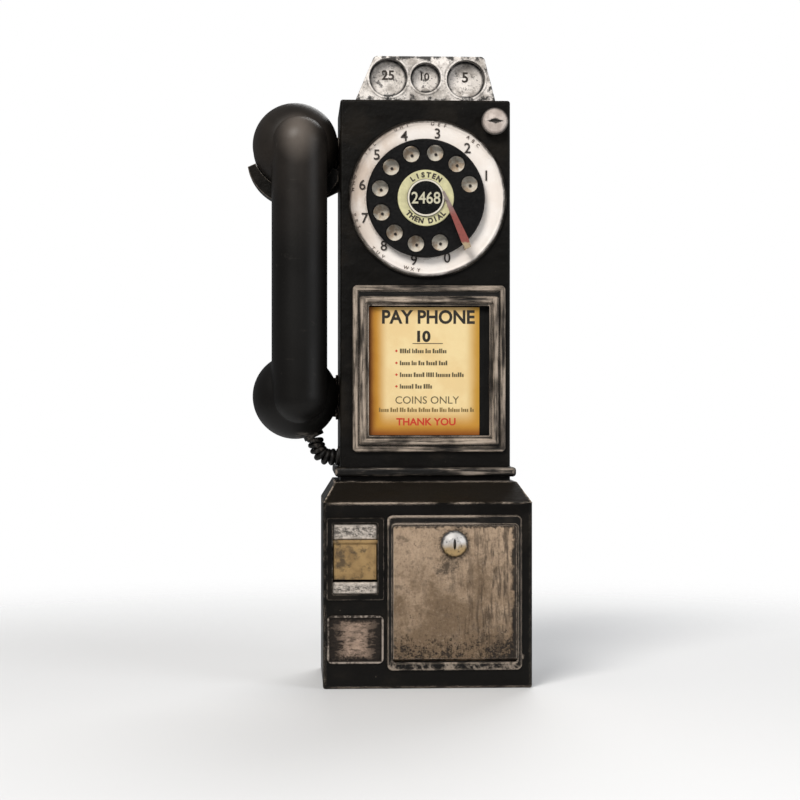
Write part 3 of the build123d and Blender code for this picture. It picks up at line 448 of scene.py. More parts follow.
def enamel():
    """Off-white ring, browned round its rim and down its left side."""
    s = Shade("ring_enamel", 0.42)
    cloud = s.noise(0.012, 5, 0.6)
    fine = s.noise(0.0013, 4, 0.7)
    out = s.plus(s.radial(PLATE.x, PLATE.z), s.jitter(cloud, 0.003))
    lean = 0.35
    leaning = s.plus(s.axis(0), s.times(s.axis(2), -lean))
    side = PLATE.x - lean * PLATE.z
    left = s.span(leaning, side - 0.012, side - 0.034)
    base = s.mix(s.span(cloud, 0.3, 0.7), (0.98, 0.92, 0.86), (0.92, 0.83, 0.75))
    base = s.mix(s.times(left, s.span(cloud, 0.34, 0.62, 0.15, 0.65)), base, (0.66, 0.51, 0.39))
    rim = s.span(out, PLATE_R - 0.0052, PLATE_R - 0.0006)
    base = s.mix(s.times(rim, s.blend(left, 0.15, 0.62)), base, (0.24, 0.18, 0.135))
    edge = s.span(out, PLATE_R - 0.0011, PLATE_R - 0.0002)
    base = s.mix(s.times(edge, s.span(fine, 0.25, 0.5, 0.2, 0.85)), base, (0.035, 0.029, 0.024))
    wheel = s.radial(WHEEL.x, WHEEL.z)
    # the plate is darker in a band just outside this radius, and inside it the plate is the floor of the
    # finger holes
    cover = 0.0262
    outside = s.span(wheel, cover, cover + 0.0008)
    inner = s.times(s.span(wheel, cover + 0.0023, cover + 0.0013, 0.0, 0.4), outside)
    base = s.mix(s.times(inner, s.span(fine, 0.35, 0.6)), base, (0.20, 0.15, 0.11))
    base = s.mix(s.span(fine, 0.67, 0.75, 0.0, 0.4), base, (0.28, 0.21, 0.15))
    under = s.mix(s.span(s.noise(0.0040, 4, 0.6, shift=8), 0.44, 0.66), (1.0, 0.91, 0.76), (0.66, 0.49, 0.33))
    base = s.mix(s.span(wheel, cover, cover - 0.0007), base, under)
    s.colour(base).rough(s.span(cloud, 0.3, 0.7, 0.36, 0.52))
    return s.bump(s.plus(cloud, s.times(fine, 0.3)), 0.0003).material


def head_metal():
    """Silver rubbed over black: dark round each well's rim, along the foot and in specks."""
    low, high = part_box("coin_head")
    s = Shade("rubbed_silver", 0.42, 0.15)
    cloud = s.noise(0.006, 5, 0.62)
    patch = s.noise(0.0045, 6, 0.75, shift=4)
    streak = s.noise(0.0022, 6, 0.7, stretch=(4.0, 1.0, 1.0))
    fine = s.noise(0.0010, 5, 0.78, shift=8)
    tone = s.mix(s.span(cloud, 0.40, 0.68), (0.95, 0.885, 0.82), (0.44, 0.395, 0.35))
    dirt = s.most(s.span(fine, 0.57, 0.65, 0.0, 0.95), s.span(streak, 0.58, 0.70, 0.0, 0.5))
    front = s.span(s.axis(1), low.y + 0.0064, low.y + 0.0056)
    rings = 0.0
    for x, z, r in WELLS:
        out = s.minus(s.plus(s.radial(x * MM, z * MM), s.jitter(fine, 0.0007)), r * MM)
        groove = s.times(s.span(out, -1.7 * MM, -0.5 * MM), s.span(out, 0.2 * MM, -0.1 * MM))
        shade = s.times(s.span(out, 2.2 * MM, 0.9 * MM, 0.0, 0.6), s.span(out, 0.6 * MM, 1.0 * MM))
        well = s.times(s.span(out, 0.0, -1.0 * MM), s.span(patch, 0.53, 0.62, 0.0, 0.9))
        groove = s.times(groove, s.span(patch, 0.3, 0.5, 0.6, 1.0))
        rings = s.most(rings, groove, s.times(shade, s.span(patch, 0.4, 0.6)), well)
    dirt = s.most(dirt, s.times(rings, front))
    slant = s.times(s.minus(s.axis(2), low.z), -0.25)
    ends = s.span(s.plus(s.inside(0, low, high), slant), 0.004, -0.002, 0.0, 0.14)
    rim = s.least(s.minus(s.axis(2), low.z), s.minus(high.z, s.axis(2)))
    rim = s.span(rim, 0.0040, 0.0, 0.0, 0.17)
    dirt = s.most(dirt, s.span(s.plus(patch, s.times(front, s.plus(rim, ends))), 0.58, 0.70, 0.0, 0.95))
    s.colour(s.mix(dirt, tone, SOOT)).metal(s.minus(0.15, s.times(dirt, 0.15)))
    s.rough(s.plus(s.span(streak, 0.3, 0.7, 0.34, 0.54), s.times(dirt, 0.15)))
    return s.bump(s.plus(cloud, s.times(fine, 0.6)), 0.0003).material


def stop_paint():
    """Bare metal by the middle, red along the arm and a pale tip."""
    low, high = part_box("finger_stop")
    s = Shade("stop_red", 0.38)
    height = s.minus(high.z, s.axis(2))
    length = high.z - low.z
    fine = s.noise(0.0012, 4, 0.6)
    run = s.plus(height, s.times(fine, 0.002))
    tone = s.mix(s.span(run, 0.18 * length, 0.50 * length), (0.34, 0.275, 0.255), (0.29, 0.080, 0.065))
    tone = s.mix(s.span(run, 0.90 * length, 0.94 * length), tone, (0.44, 0.34, 0.21))
    s.colour(s.mix(s.span(fine, 0.56, 0.70, 0.0, 0.7), tone, (0.07, 0.035, 0.03)))
    s.metal(s.span(run, 0.15 * length, 0.45 * length, 0.4, 0.1))
    return s.bump(fine, 0.0001).material


def card_paper():
    """Cream print with orange-brown edges, strongest on the left and along the bottom."""
    low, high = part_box("instruction_card")
    s = Shade("card_print", 0.5, Specular_IOR_Level=0.3)
    cloud = s.noise(0.012, 4, 0.55)
    wander = s.jitter(cloud, 0.0025)
    left = s.plus(s.minus(s.axis(0), low.x), wander)
    right = s.plus(s.minus(high.x, s.axis(0)), wander)
    bottom = s.plus(s.minus(s.axis(2), low.z), wander)
    top = s.plus(s.minus(high.z, s.axis(2)), wander)
    tone = s.mix(s.span(cloud, 0.35, 0.65), (0.87, 0.685, 0.36), (0.82, 0.61, 0.30))
    tone = s.mix(s.span(top, 0.006, 0.0, 0.0, 0.6), tone, (0.55, 0.29, 0.055))
    tone = s.mix(s.span(right, 0.0070, 0.0004, 0.0, 1.0), tone, (0.55, 0.29, 0.040))
    tone = s.mix(s.span(bottom, 0.014, 0.003, 0.0, 1.0), tone, (0.55, 0.26, 0.030))
    tone = s.mix(s.span(left, 0.0090, 0.0030, 0.0, 1.0), tone, (0.53, 0.25, 0.028))
    tone = s.mix(s.span(bottom, 0.0050, 0.0, 0.0, 1.0), tone, (0.30, 0.085, 0.008))
    tone = s.mix(s.span(left, 0.0042, 0.0, 0.0, 1.0), tone, (0.22, 0.065, 0.006))
    s.colour(tone).rough(s.span(cloud, 0.3, 0.7, 0.42, 0.6))
    return s.bump(s.noise(0.0008, 3, 0.5), 0.00006).material


def door_metal():
    """Tan rubbed metal: paler above, streaked on the right, black specks along the foot, a dark ring round
    the lock and a black smudge below it.
    """
    low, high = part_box("vault_door")
    s = Shade("door_rubbed", 0.5, Specular_IOR_Level=0.2)
    broad = s.noise(0.017, 4, 0.55, shift=1.3)
    blotch = s.noise(0.0050, 6, 0.70)
    grain = s.noise(0.0010, 6, 0.72, stretch=(1.0, 1.0, 1.25))
    brush = s.noise(0.0022, 6, 0.7, stretch=(1.0, 1.0, 7.0), shift=4)
    fine = s.noise(0.0010, 5, 0.78, shift=6)
    up = s.share(2, low, high)
    right = s.share(0, low, high)
    pale = (0.460, 0.335, 0.228)
    warm = (0.195, 0.132, 0.080)
    deep = (0.050, 0.035, 0.024)
    tone = s.mix(s.span(s.plus(up, s.jitter(broad, 2.1), s.jitter(blotch, 1.2)), 0.20, 0.95), warm, pale)
    streaked = s.span(s.plus(right, s.jitter(broad, 0.8)), 0.40, 0.80, 0.14, 0.78)
    tone = s.mix(s.times(s.span(brush, 0.45, 0.62), streaked), tone, deep)
    tone = s.mix(s.span(grain, 0.46, 0.70, 0.0, 0.42), tone, deep)
    tone = s.mix(s.span(s.plus(blotch, s.jitter(broad, 0.3)), 0.52, 0.68, 0.0, 0.55), tone, deep)
    tone = s.mix(s.span(grain, 0.42, 0.30, 0.0, 0.40), tone, (0.56, 0.44, 0.33))
    wander = s.plus(s.jitter(s.noise(0.0060, 6, 0.75), 0.007), s.jitter(fine, 0.003))
    from_right = s.plus(s.minus(high.x, s.axis(0)), wander)
    from_top = s.plus(s.minus(high.z, s.axis(2)), wander)
    from_foot = s.plus(s.minus(s.axis(2), low.z), wander)
    grime = s.most(s.span(from_right, 0.0026, 0.0010), s.span(from_top, 0.0014, 0.0002),
                   s.span(from_foot, 0.0012, 0.0))
    foot = s.span(s.axis(2), low.z + 0.019, low.z + 0.002, 0.0, 0.15)
    corner = s.times(s.span(right, 0.72, 1.0), s.span(up, 0.30, 0.0, 0.0, 0.10))
    pepper = s.noise(0.0017, 6, 0.82, shift=3)
    specks = s.span(s.plus(pepper, foot, corner, s.jitter(broad, 0.16)), 0.61, 0.70)
    lock = s.plus(s.radial(LOCK.x, LOCK.z), s.jitter(fine, 0.010))
    ring = s.span(lock, LOCK_R + 0.0014, LOCK_R - 0.0006, 0.0, 0.85)
    smudge = s.plus(s.radial(LOCK.x - 0.0035, LOCK.z - 0.0105), s.jitter(s.noise(0.0035, 6, 0.85), 0.026))
    smudge = s.span(smudge, 0.0055, 0.0010, 0.0, 0.8)
    dirt = s.most(grime, specks, ring, smudge, s.span(fine, 0.62, 0.70, 0.0, 0.75))
    rub_and_painted_highlight = s.times(s.span(s.edges(0.0008), 0.3, 0.9), s.span(fine, 0.35, 0.6))
    tone = s.mix(s.times(dirt, 0.93), tone, (0.0115, 0.0092, 0.0074))
    s.colour(s.mix(rub_and_painted_highlight, tone, RUBBED)).metal(s.times(s.minus(1.0, dirt), 0.2))
    s.rough(s.plus(s.span(grain, 0.3, 0.7, 0.40, 0.56), s.times(dirt, 0.12)))
    return s.bump(s.plus(grain, s.times(s.noise(0.003, 6, 0.7), 1.8), s.times(brush, 0.5)), 0.0004).material


def door_border():
    """Black border of the door with rubbed lines: bright along its top, patchy along its foot."""
    low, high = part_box("vault_frame")
    s = Shade("trim_rubbed", 0.45, Specular_IOR_Level=0.2)
    patch = s.noise(0.007, 5, 0.65, shift=2)
    fine = s.noise(0.0012, 5, 0.75)
    edge = s.times(s.span(s.edges(0.0010, 8.0), 0.22, 0.7), s.span(patch, 0.36, 0.54, 0.15, 0.8))
    right = s.share(0, low, high)
    top = s.span(s.axis(2), high.z - 0.0052, high.z - 0.0040)
    bright = s.span(s.plus(right, s.jitter(patch, 0.5)), 0.78, 0.62)
    top = s.times(top, s.span(s.edges(0.0018, 9.0), 0.2, 0.6), bright)
    foot = s.span(s.axis(2), low.z + 0.0050, low.z + 0.0040)
    foot = s.times(foot, s.span(s.plus(patch, s.jitter(fine, 0.3)), 0.46, 0.60))
    rub_and_painted_highlight = s.times(s.most(edge, top, s.times(foot, 0.42)), s.span(fine, 0.30, 0.50, 0.35, 1.0))
    base = s.mix(s.span(patch, 0.45, 0.7), BLACK, BROWN_BLACK)
    s.colour(s.mix(rub_and_painted_highlight, base, RUBBED)).rough(s.span(patch, 0.3, 0.7, 0.4, 0.55))
    return s.bump(s.plus(patch, s.times(fine, 0.5)), 0.0004).material


def plate_metal():
    """Blank plate: pale rubbed rim, brighter towards the lower right as a painted highlight, tan middle,
    black brushed in sideways from its ends.
    """
    low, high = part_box("lower_panel")
    s = Shade("plate_rubbed", 0.55, Specular_IOR_Level=0.12)
    strokes = s.noise(0.0015, 6, 0.78, stretch=(3.0, 1.0, 1.0))
    fine = s.noise(0.0009, 5, 0.78, shift=2)
    broad = s.noise(0.008, 5, 0.6, shift=3)
    tone = s.mix(s.span(broad, 0.36, 0.64), (0.42, 0.30, 0.225), (0.235, 0.170, 0.126))
    tone = s.mix(s.span(strokes, 0.44, 0.62, 0.0, 0.8), tone, (0.050, 0.038, 0.030))
    across = s.plus(s.inside(0, low, high), s.jitter(strokes, 0.024), s.jitter(broad, 0.016))
    down = s.plus(s.inside(2, low, high), s.jitter(fine, 0.008), s.jitter(broad, 0.008))
    pits = s.span(fine, 0.60, 0.68, 0.0, 0.8)
    black = s.most(s.span(across, 0.0084, 0.0040), s.span(down, 0.0042, 0.0018), pits)
    tone = s.mix(s.times(black, 0.95), tone, SOOT)
    rim = s.least(s.inside(0, low, high), s.inside(2, low, high))
    # painted highlight: the pale rim is made stronger towards the lower right, as if those edges catch the
    # light
    lit = s.span(s.plus(s.axis(0), s.times(s.axis(2), -1.0)), low.x - high.z, high.x - low.z, 0.0, 0.16)
    mixed_with_painted_light = s.span(s.plus(s.noise(0.0025, 5, 0.7, shift=7), lit), 0.46, 0.66, 0.05, 0.9)
    s.colour(s.mix(s.times(s.span(rim, 0.0011, 0.0007), mixed_with_painted_light), tone, (0.38, 0.32, 0.27)))
    s.rough(s.span(strokes, 0.3, 0.7, 0.42, 0.6))
    return s.bump(s.plus(strokes, s.times(fine, 0.5)), 0.0004).material


def flap_metal():
    """Ochre flap, dirtier on its left side."""
    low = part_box("return_flap")[0]
    s = Shade("flap_ochre", 0.45, Specular_IOR_Level=0.3)
    blotch = s.noise(0.0045, 6, 0.65)
    fine = s.noise(0.0010, 5, 0.72, shift=2)
    left = s.span(s.axis(0), low.x + 0.016, low.x, -0.02, 0.13)
    dirt = s.span(s.plus(blotch, left, s.jitter(fine, 0.3)), 0.50, 0.72)
    broad = s.noise(0.008, 4, 0.6, shift=5)
    tone = s.mix(s.span(broad, 0.36, 0.64), (0.35, 0.225, 0.092), (0.235, 0.145, 0.058))
    s.colour(s.mix(s.times(dirt, 0.85), tone, (0.055, 0.038, 0.022))).rough(s.span(fine, 0.3, 0.7, 0.4, 0.56))
    return s.bump(s.plus(blotch, fine), 0.0003).material


def bar_metal(node):
    """Silver rubbed over black: bright along the top and foot, smeared with black specks between."""
    low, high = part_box(node)
    s = Shade(node + "_silver", 0.42, 0.2)
    smear = s.noise(0.0013, 6, 0.8, stretch=(1.7, 1.0, 1.0))
    fine = s.noise(0.0007, 5, 0.8, shift=5)
    tone = s.mix(s.span(smear, 0.40, 0.62), (0.60, 0.53, 0.46), (0.30, 0.26, 0.22))
    rim = s.span(s.inside(2, low, high), 0.0012, 0.0002, 0.0, 0.16)
    middle = s.span(s.inside(2, low, high), 0.0008, 0.0022, 0.0, 0.05)
    dirt = s.span(s.plus(s.times(smear, 0.55), s.times(fine, 0.45), middle, s.times(rim, -1.0)), 0.48, 0.62)
    dirt = s.most(dirt, s.span(s.inside(0, low, high), 0.0012, 0.0002, 0.0, 0.8))
    s.colour(s.mix(s.times(dirt, 0.80), tone, SOOT)).metal(s.minus(0.2, s.times(dirt, 0.2)))
    return s.bump(s.plus(smear, s.times(fine, 0.6)), 0.0003).material


def lock_dome():
    """Painted bright above as a painted highlight, ochre below, with a few black pits, a dark rim and painted
    shade in its hollows.
    """
    low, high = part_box("lock_barrel")
    s = Shade("lock_chrome", 0.34, 0.5)
    fine = s.noise(0.0012, 4, 0.7)
    # painted highlight: the upper part of the dome is painted bright silver, fading to ochre below
    height = s.plus(s.share(2, low, high), s.jitter(s.noise(0.003, 4, 0.6), 0.35))
    tone = s.mix(s.span(height, 0.28, 0.62), (0.43, 0.295, 0.135), (0.72, 0.69, 0.66))
    out = s.plus(s.radial(LOCK.x, LOCK.z), s.jitter(fine, 0.0022))
    rim = s.span(out, LOCK_R - 0.0012, LOCK_R - 0.0002, 0.0, 0.9)
    pits = s.span(fine, 0.57, 0.68, 0.0, 0.85)
    # painted shade: hollows found by ambient occlusion are painted near black, together with the pits and the
    # dark rim
    s.colour(s.mix(s.most(pits, rim, s.span(s.hollow(0.002), 0.45, 0.85)), tone, SOOT))
    return s.bump(s.noise(0.002, 4, 0.6), 0.0001).material


def knob_silver():
    """Cream-silver knob with a dark rim and grime in and round its slot."""
    centre = centre_of("release_knob")
    radius = radius_of("release_knob")
    s = Shade("knob_silver", 0.42, 0.3)
    cloud = s.noise(0.004, 5, 0.6)
    fine = s.noise(0.0008, 5, 0.75)
    out = s.plus(s.radial(centre.x, centre.z), s.jitter(fine, 0.0012))
    tone = s.mix(s.span(cloud, 0.35, 0.65), (0.70, 0.61, 0.55), (0.50, 0.42, 0.37))
    wide = s.math("ABSOLUTE", s.minus(s.axis(0), centre.x))
    tall = s.math("ABSOLUTE", s.minus(s.axis(2), centre.z))
    mark = s.plus(s.times(wide, 0.34), tall, s.jitter(fine, 0.0030))
    rim = s.span(out, radius - 0.0011, radius - 0.0002, 0.0, 0.9)
    dirt = s.most(s.span(mark, 0.00165, 0.0010, 0.0, 0.95), rim)
    dirt = s.most(dirt, s.span(fine, 0.62, 0.70, 0.0, 0.6))
    s.colour(s.mix(dirt, tone, (0.022, 0.018, 0.015)))
    return s.bump(s.plus(cloud, fine), 0.00015).material


def handset_black():
    """Satin black: the upper half painted brown as a painted sheen, a pale painted highlight near the top of
    the handle, pale scratches, rubbed foot edges and a nick at the foot.
    """
    low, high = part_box("handset_handle")
    s = Shade("handset_satin", 0.42, Specular_IOR_Level=0.20)
    broad = s.noise(0.03, 4, 0.5)
    fine = s.noise(0.0014, 4, 0.6)
    # painted sheen: the upper half of the handset is painted brown, as if lit from above
    top = s.span(s.axis(2), centre_of("handset_handle").z, high.z - 0.02)
    rub_and_painted_highlight = s.times(top, s.span(broad, 0.35, 0.6, 0.35, 1.0))
    tone = s.mix(s.times(rub_and_painted_highlight, 0.7), (0.0046, 0.0040, 0.0034), (0.030, 0.024, 0.0195))
    # painted highlight: a pale oval on the front near the top of the handle
    spot_x, spot_z = low.x + 0.0212, high.z - 0.0155
    spot_width, spot_height = 0.0085, 0.0125
    wide = s.times(s.minus(s.axis(0), spot_x), 1.0 / spot_width)
    tall = s.times(s.minus(s.axis(2), spot_z), 1.0 / spot_height)
    front = s.span(s.axis(1), low.y + 0.011, low.y + 0.006)
    painted_highlight = s.times(s.span(s.distance(wide, tall), 1.35, 0.15), front, s.span(broad, 0.2, 0.6, 0.55, 0.9))
    tone = s.mix(painted_highlight, tone, (0.155, 0.130, 0.110))
    scratch = s.span(s.noise(0.003, 6, 0.7, stretch=(8.0, 1.0, 1.0)), 0.62, 0.72, 0.0, 0.12)
    foot = s.span(s.axis(2), low.z + 0.010, low.z, 0.12, 0.8)
    edge = s.times(s.span(s.edges(0.0007), 0.35, 1.0), s.span(fine, 0.45, 0.65), foot)
    nick = s.span(s.axis(2), low.z + 0.0036, low.z + 0.0022)
    nick = s.times(nick, s.span(s.axis(0), low.x + 0.018, low.x + 0.024))
    nick = s.times(nick, s.span(s.noise(0.0018, 5, 0.7, stretch=(3.0, 1.0, 1.0)), 0.46, 0.58))
    s.colour(s.mix(s.most(scratch, edge, nick), tone, (0.15, 0.13, 0.11)))
    s.rough(s.plus(s.span(broad, 0.3, 0.7, 0.38, 0.50), s.times(scratch, 0.5)))
    return s.bump(s.plus(s.times(broad, 2.0), s.times(fine, 0.3)), 0.00012).material


def rubber():
    """Black rubber with pale painted highlights on the front crest of each turn, fading out lower down."""
    s = Shade("cord_black", 0.5, Specular_IOR_Level=0.25)
    fine = s.noise(0.0009, 4, 0.6)
    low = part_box("handset_cord")[0]
    # painted highlight: the front-most crest of each turn is painted pale, fading out towards the bottom
    crest = s.span(s.axis(1), low.y + 0.0016, low.y)
    crest = s.times(crest, s.span(s.axis(2), low.z + 0.0045, low.z + 0.0085, 0.12, 1.0))
    rub_and_painted_highlight = s.times(crest, s.span(s.noise(0.0022, 5, 0.65), 0.46, 0.62, 0.0, 0.75))
    s.colour(s.mix(rub_and_painted_highlight, (0.006, 0.0055, 0.005), (0.16, 0.135, 0.115)))
    s.rough(s.span(fine, 0.3, 0.7, 0.4, 0.58))
    return s.bump(fine, 0.00008).material


BLACK_PAINT = black_paint("black_housing", wear=1.1, radius=0.0011)
RUBBER = rubber()
STEEL = plain("steel", (0.42, 0.42, 0.43), 0.34, 0.9, 0.2, 0.008, 0.00006, (1.0, 1.0, 6.0))
PLATED = plain("plated_steel", (0.50, 0.49, 0.46), 0.3, 0.9, 0.15, 0.01)
BRASS = plain("brass", (0.62, 0.42, 0.16), 0.3, 0.95, 0.2, 0.006)
ALUMINIUM = plain("aluminium", (0.55, 0.56, 0.57), 0.38, 0.9, 0.12, 0.01, 0.00006, (1.0, 8.0, 1.0))

paint(BLACK_PAINT, "upper_housing", "hook_bracket", "handset_rest")
paint(black_paint("black_base", wear=1.25, radius=0.0016, gain=13.0, shift=3.0, pale=RUBBED), "lower_housing")
paint(black_paint("black_bezel", wear=0.3, radius=0.0006, shift=5.0), "dial_bezel")
paint(rubbed_moulding("frame_moulding", "card_frame", 0.0016), "card_frame")
paint(rubbed_moulding("bead_moulding", "collar_bead", 0.0012, amount=0.58, shift=6.0, pale=WORN),
      "collar_bead")
paint(door_border(), "vault_frame")
paint(black_paint("black_back", wear=0.6, radius=0.0006, shift=2.0), "back_plate")
paint(black_paint("black_cup", wear=1.0, radius=0.0008, shift=6.0), "return_cup")
paint(black_paint("black_hook", wear=0.55, radius=0.0010, shift=11.0), "hook_cradle")
paint(head_metal(), "coin_head")
paint(bar_metal("return_bar"), "return_bar")
paint(bar_metal("return_lip"), "return_lip")
paint(knob_silver(), "release_knob")
paint(enamel(), "number_plate")
paint(plain("wheel_black", (0.0048, 0.0045, 0.0045), 0.34, 0.0, 0.3, 0.01, 0.00012, shine=0.2),
      "finger_wheel")
paint(plain("ring_card", (0.64, 0.60, 0.345), 0.5, 0.0, 0.12, 0.004), "dial_card")
paint(plain("badge_black", (0.0045, 0.0045, 0.0045), 0.3, 0.0, 0.2, shine=0.2), "card_badge")
paint(stop_paint(), "finger_stop")
paint(card_paper(), "instruction_card")
paint(door_metal(), "vault_door")
paint(plate_metal(), "lower_panel")
paint(flap_metal(), "return_flap")
paint(lock_dome(), "lock_barrel", "lock_plug")
paint(handset_black(), "handset_handle", "ear_cap", "mouth_cap")
paint(RUBBER, "cord_boot", "cord_grommet", "handset_cord")
CORD.data.materials.append(RUBBER)
paint(STEEL, "back_plate_screws", "hinge_pin", "lock_cam", "coin_box", "hook_lever", "hook_frame",
      "dial_shaft", "coin_gong", "knob_bush")
paint(PLATED, "dial_frame", "coin_relay", "dial_spring", "release_spring")
paint(BRASS, "main_gear", "governor", "coin_trap", "coin_bell")
paint(ALUMINIUM, "coin_chute", "return_chute", "receiver_capsule", "transmitter_capsule")
paint(plain("hopper_plastic", (0.55, 0.52, 0.42), 0.45, 0.0, 0.12), "coin_hopper")
paint(plain("phenolic", (0.20, 0.06, 0.025), 0.35, 0.0, 0.25), "pulse_contacts", "switch_springs")
paint(plain("terminal_black", (0.03, 0.03, 0.03), 0.45), "terminal_strip")
paint(plain("coil_varnish", (0.30, 0.16, 0.05), 0.35, 0.0, 0.25, 0.003, 0.0001, (6.0, 1.0, 1.0)),
      "induction_coil")
paint(plain("backing_board", (0.006, 0.0055, 0.005), 0.7, 0.0, 0.3, shine=0.15), "card_backing")

# ---- print ---------------------------------------------------------------------------------------
INK_T = 0.00006
DISC_SIDES = 20


class Print:
    """Collects flat marks that face -Y and makes them one thin mesh."""

    def __init__(self, y):
        self.y = y
        self.vertices = []
        self.faces = []

    def shape(self, points, faces):
        """Adds flat faces, given as (x, z) points."""
        start = len(self.vertices)
        self.vertices += [(x, self.y - INK_T, z) for x, z in points]
        self.faces += [tuple(start + i for i in face) for face in faces]

    def bar(self, x, z, width, height):
        w, h = width / 2, height / 2
        self.shape([(x - w, z - h), (x + w, z - h), (x + w, z + h), (x - w, z + h)], [(0, 1, 2, 3)])

    def diamond(self, x, z, reach):
        self.shape([(x - reach, z), (x, z - reach), (x + reach, z), (x, z + reach)], [(0, 1, 2, 3)])

    def disc(self, x, z, radius):
        angles = [2 * math.pi * i / DISC_SIDES for i in range(DISC_SIDES)]
        self.shape([(x + radius * math.cos(a), z + radius * math.sin(a)) for a in angles],
                   [tuple(range(DISC_SIDES))])

    def text(self, words, height, x, z, width=None, turn=0.0, weight=0.0):
        """Words with a capital height, centred on a point. A width squeezes or stretches them to fit."""
        curve = bpy.data.curves.new("words", "FONT")
        curve.body = words
        curve.size = 1.0
        curve.offset = weight
        curve.resolution_u = 4
        holder = bpy.data.objects.new("words", curve)
        bpy.context.scene.collection.objects.link(holder)
        bpy.context.view_layer.update()
        mesh = bpy.data.meshes.new_from_object(holder)
        bpy.data.objects.remove(holder)
        xs = [v.co.x for v in mesh.vertices]
        ys = [v.co.y for v in mesh.vertices]
        low_x, high_x, low_y, high_y = min(xs), max(xs), min(ys), max(ys)
        tall = height / (high_y - low_y)
        wide = tall if width is None else width / (high_x - low_x)
        c, s = math.cos(turn), math.sin(turn)
        points = []
        for v in mesh.vertices:
            px = (v.co.x - (low_x + high_x) / 2) * wide
            pz = (v.co.y - (low_y + high_y) / 2) * tall
            points.append((x + c * px - s * pz, z + s * px + c * pz))
        self.shape(points, [tuple(p.vertices) for p in mesh.polygons])
        bpy.data.meshes.remove(mesh)

    def words_like(self, rng, x, z, width, height):
        """A line of small blocks that reads as small print without saying anything."""
        at, end = x, x + width
        letter = 0
        goal = rng.randint(3, 7)
        while at < end:
            w = height * rng.uniform(0.34, 0.58)
            tall = height * (1.0 if letter == 0 or rng.random() < 0.22 else 0.68)
            self.bar(at + w / 2, z - height / 2 + tall / 2, w * 0.72, tall)
            at += w
            letter += 1
            if letter == goal:
                at += height * 0.28
                letter, goal = 0, rng.randint(3, 7)

    def make(self, name, material, body):
        """Turns the marks into one object that moves with a body."""
        made = mesh_object(name, self.vertices, self.faces, smooth=False)
        face_front(made)
        solid = made.modifiers.new("thickness", "SOLIDIFY")
        solid.thickness = INK_T
        solid.offset = -1.0
        made.data.materials.append(material)
        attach(made, body)
        return made


def face_front(made):
    """Turns every face of a flat print towards -Y."""
    shape = bmesh.new()
    shape.from_mesh(made.data)
    bmesh.ops.reverse_faces(shape, faces=[f for f in shape.faces if f.normal.y > 0])
    shape.to_mesh(made.data)
    shape.free()


def ink(name, tone, fade=0.35):
    """Printing ink, paler where it has rubbed away."""
    rough = 0.5
    s = Shade(name, rough)
    wear = s.span(s.noise(0.0014, 5, 0.7), 0.5, 0.72, 0.0, fade)
    s.colour(s.mix(wear, tone, tuple(min(1.0, 3.5 * c + 0.06) for c in tone)))
    return s.rough(s.span(s.noise(0.0012), 0.3, 0.7, rough - 0.08, rough + 0.1)).material


DARK_INK = ink("ink_dark", (0.030, 0.021, 0.015), fade=0.5)
HEADING_INK = ink("ink_heading", (0.016, 0.012, 0.006), fade=0.2)
BROWN_INK = ink("ink_brown", (0.090, 0.068, 0.028))
OCHRE_INK = ink("ink_ochre", (0.20, 0.13, 0.035))
RED_INK = ink("ink_red", (0.55, 0.035, 0.012), fade=0.1)
CREAM_INK = ink("ink_cream", (0.58, 0.54, 0.39), fade=0.1)

PLATE_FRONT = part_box("number_plate")[0].y
FIRST_HOLE = 18.0
HOLE_STEP = 30.0
HOLE_RING_R = 21.3 * MM
HOLE_DOT_R = 0.7 * MM
HOLE_DOT_SHIFT = (0.5 * MM, -0.4 * MM)
DIGIT_R = 29.7 * MM
LETTER_R = 33.9 * MM
LETTER_STEP = 5.0
RING_TURN = 1.5
RING_SHIFT = (0.25 * MM, 1.0 * MM)
RING_TEXT_R = 10.6 * MM


def around(radius, degrees, shift=(0.0, 0.0)):
    """A point (x, z) round the wheel's axis."""
    a = math.radians(degrees)
    return WHEEL.x + shift[0] + radius * math.cos(a), WHEEL.z + shift[1] + radius * math.sin(a)


def add_dial_print():
    """Digits and letters on the number plate, and the dark dot in each finger hole."""
    digits = Print(PLATE_FRONT)
    for i, digit in enumerate("1234567890"):
        angle = FIRST_HOLE + HOLE_STEP * i
        x, z = around(DIGIT_R, angle + RING_TURN, RING_SHIFT)
        digits.text(digit, 4.7 * MM, x, z, weight=0.010)
        digits.disc(*around(HOLE_RING_R, angle, HOLE_DOT_SHIFT), HOLE_DOT_R)
    digits.make("dial_digits", DARK_INK, "housing")
    letters = Print(PLATE_FRONT)
    for i, group in enumerate(("ABC", "DEF", "GHI", "JKL", "MNO", "PRS", "TUV", "WXY")):
        middle = FIRST_HOLE + HOLE_STEP * (i + 1) + RING_TURN
        upright = 1 if math.sin(math.radians(middle)) > -0.2 else -1
        for k, letter in enumerate(group):
            angle = middle + (1 - k) * LETTER_STEP * upright
            x, z = around(LETTER_R, angle, RING_SHIFT)
            letters.text(letter, 1.6 * MM, x, z, turn=math.radians(angle - 90 * upright), weight=0.01)
    letters.make("dial_letters", ink("ink_faint", (0.09, 0.065, 0.05), fade=0.6), "housing")


BADGE_SINK = 0.2 * MM
BADGE_RIM_IN = 0.55 * MM
BADGE_RIM_HALF = 0.38 * MM
BADGE_RIM_STEPS = 72


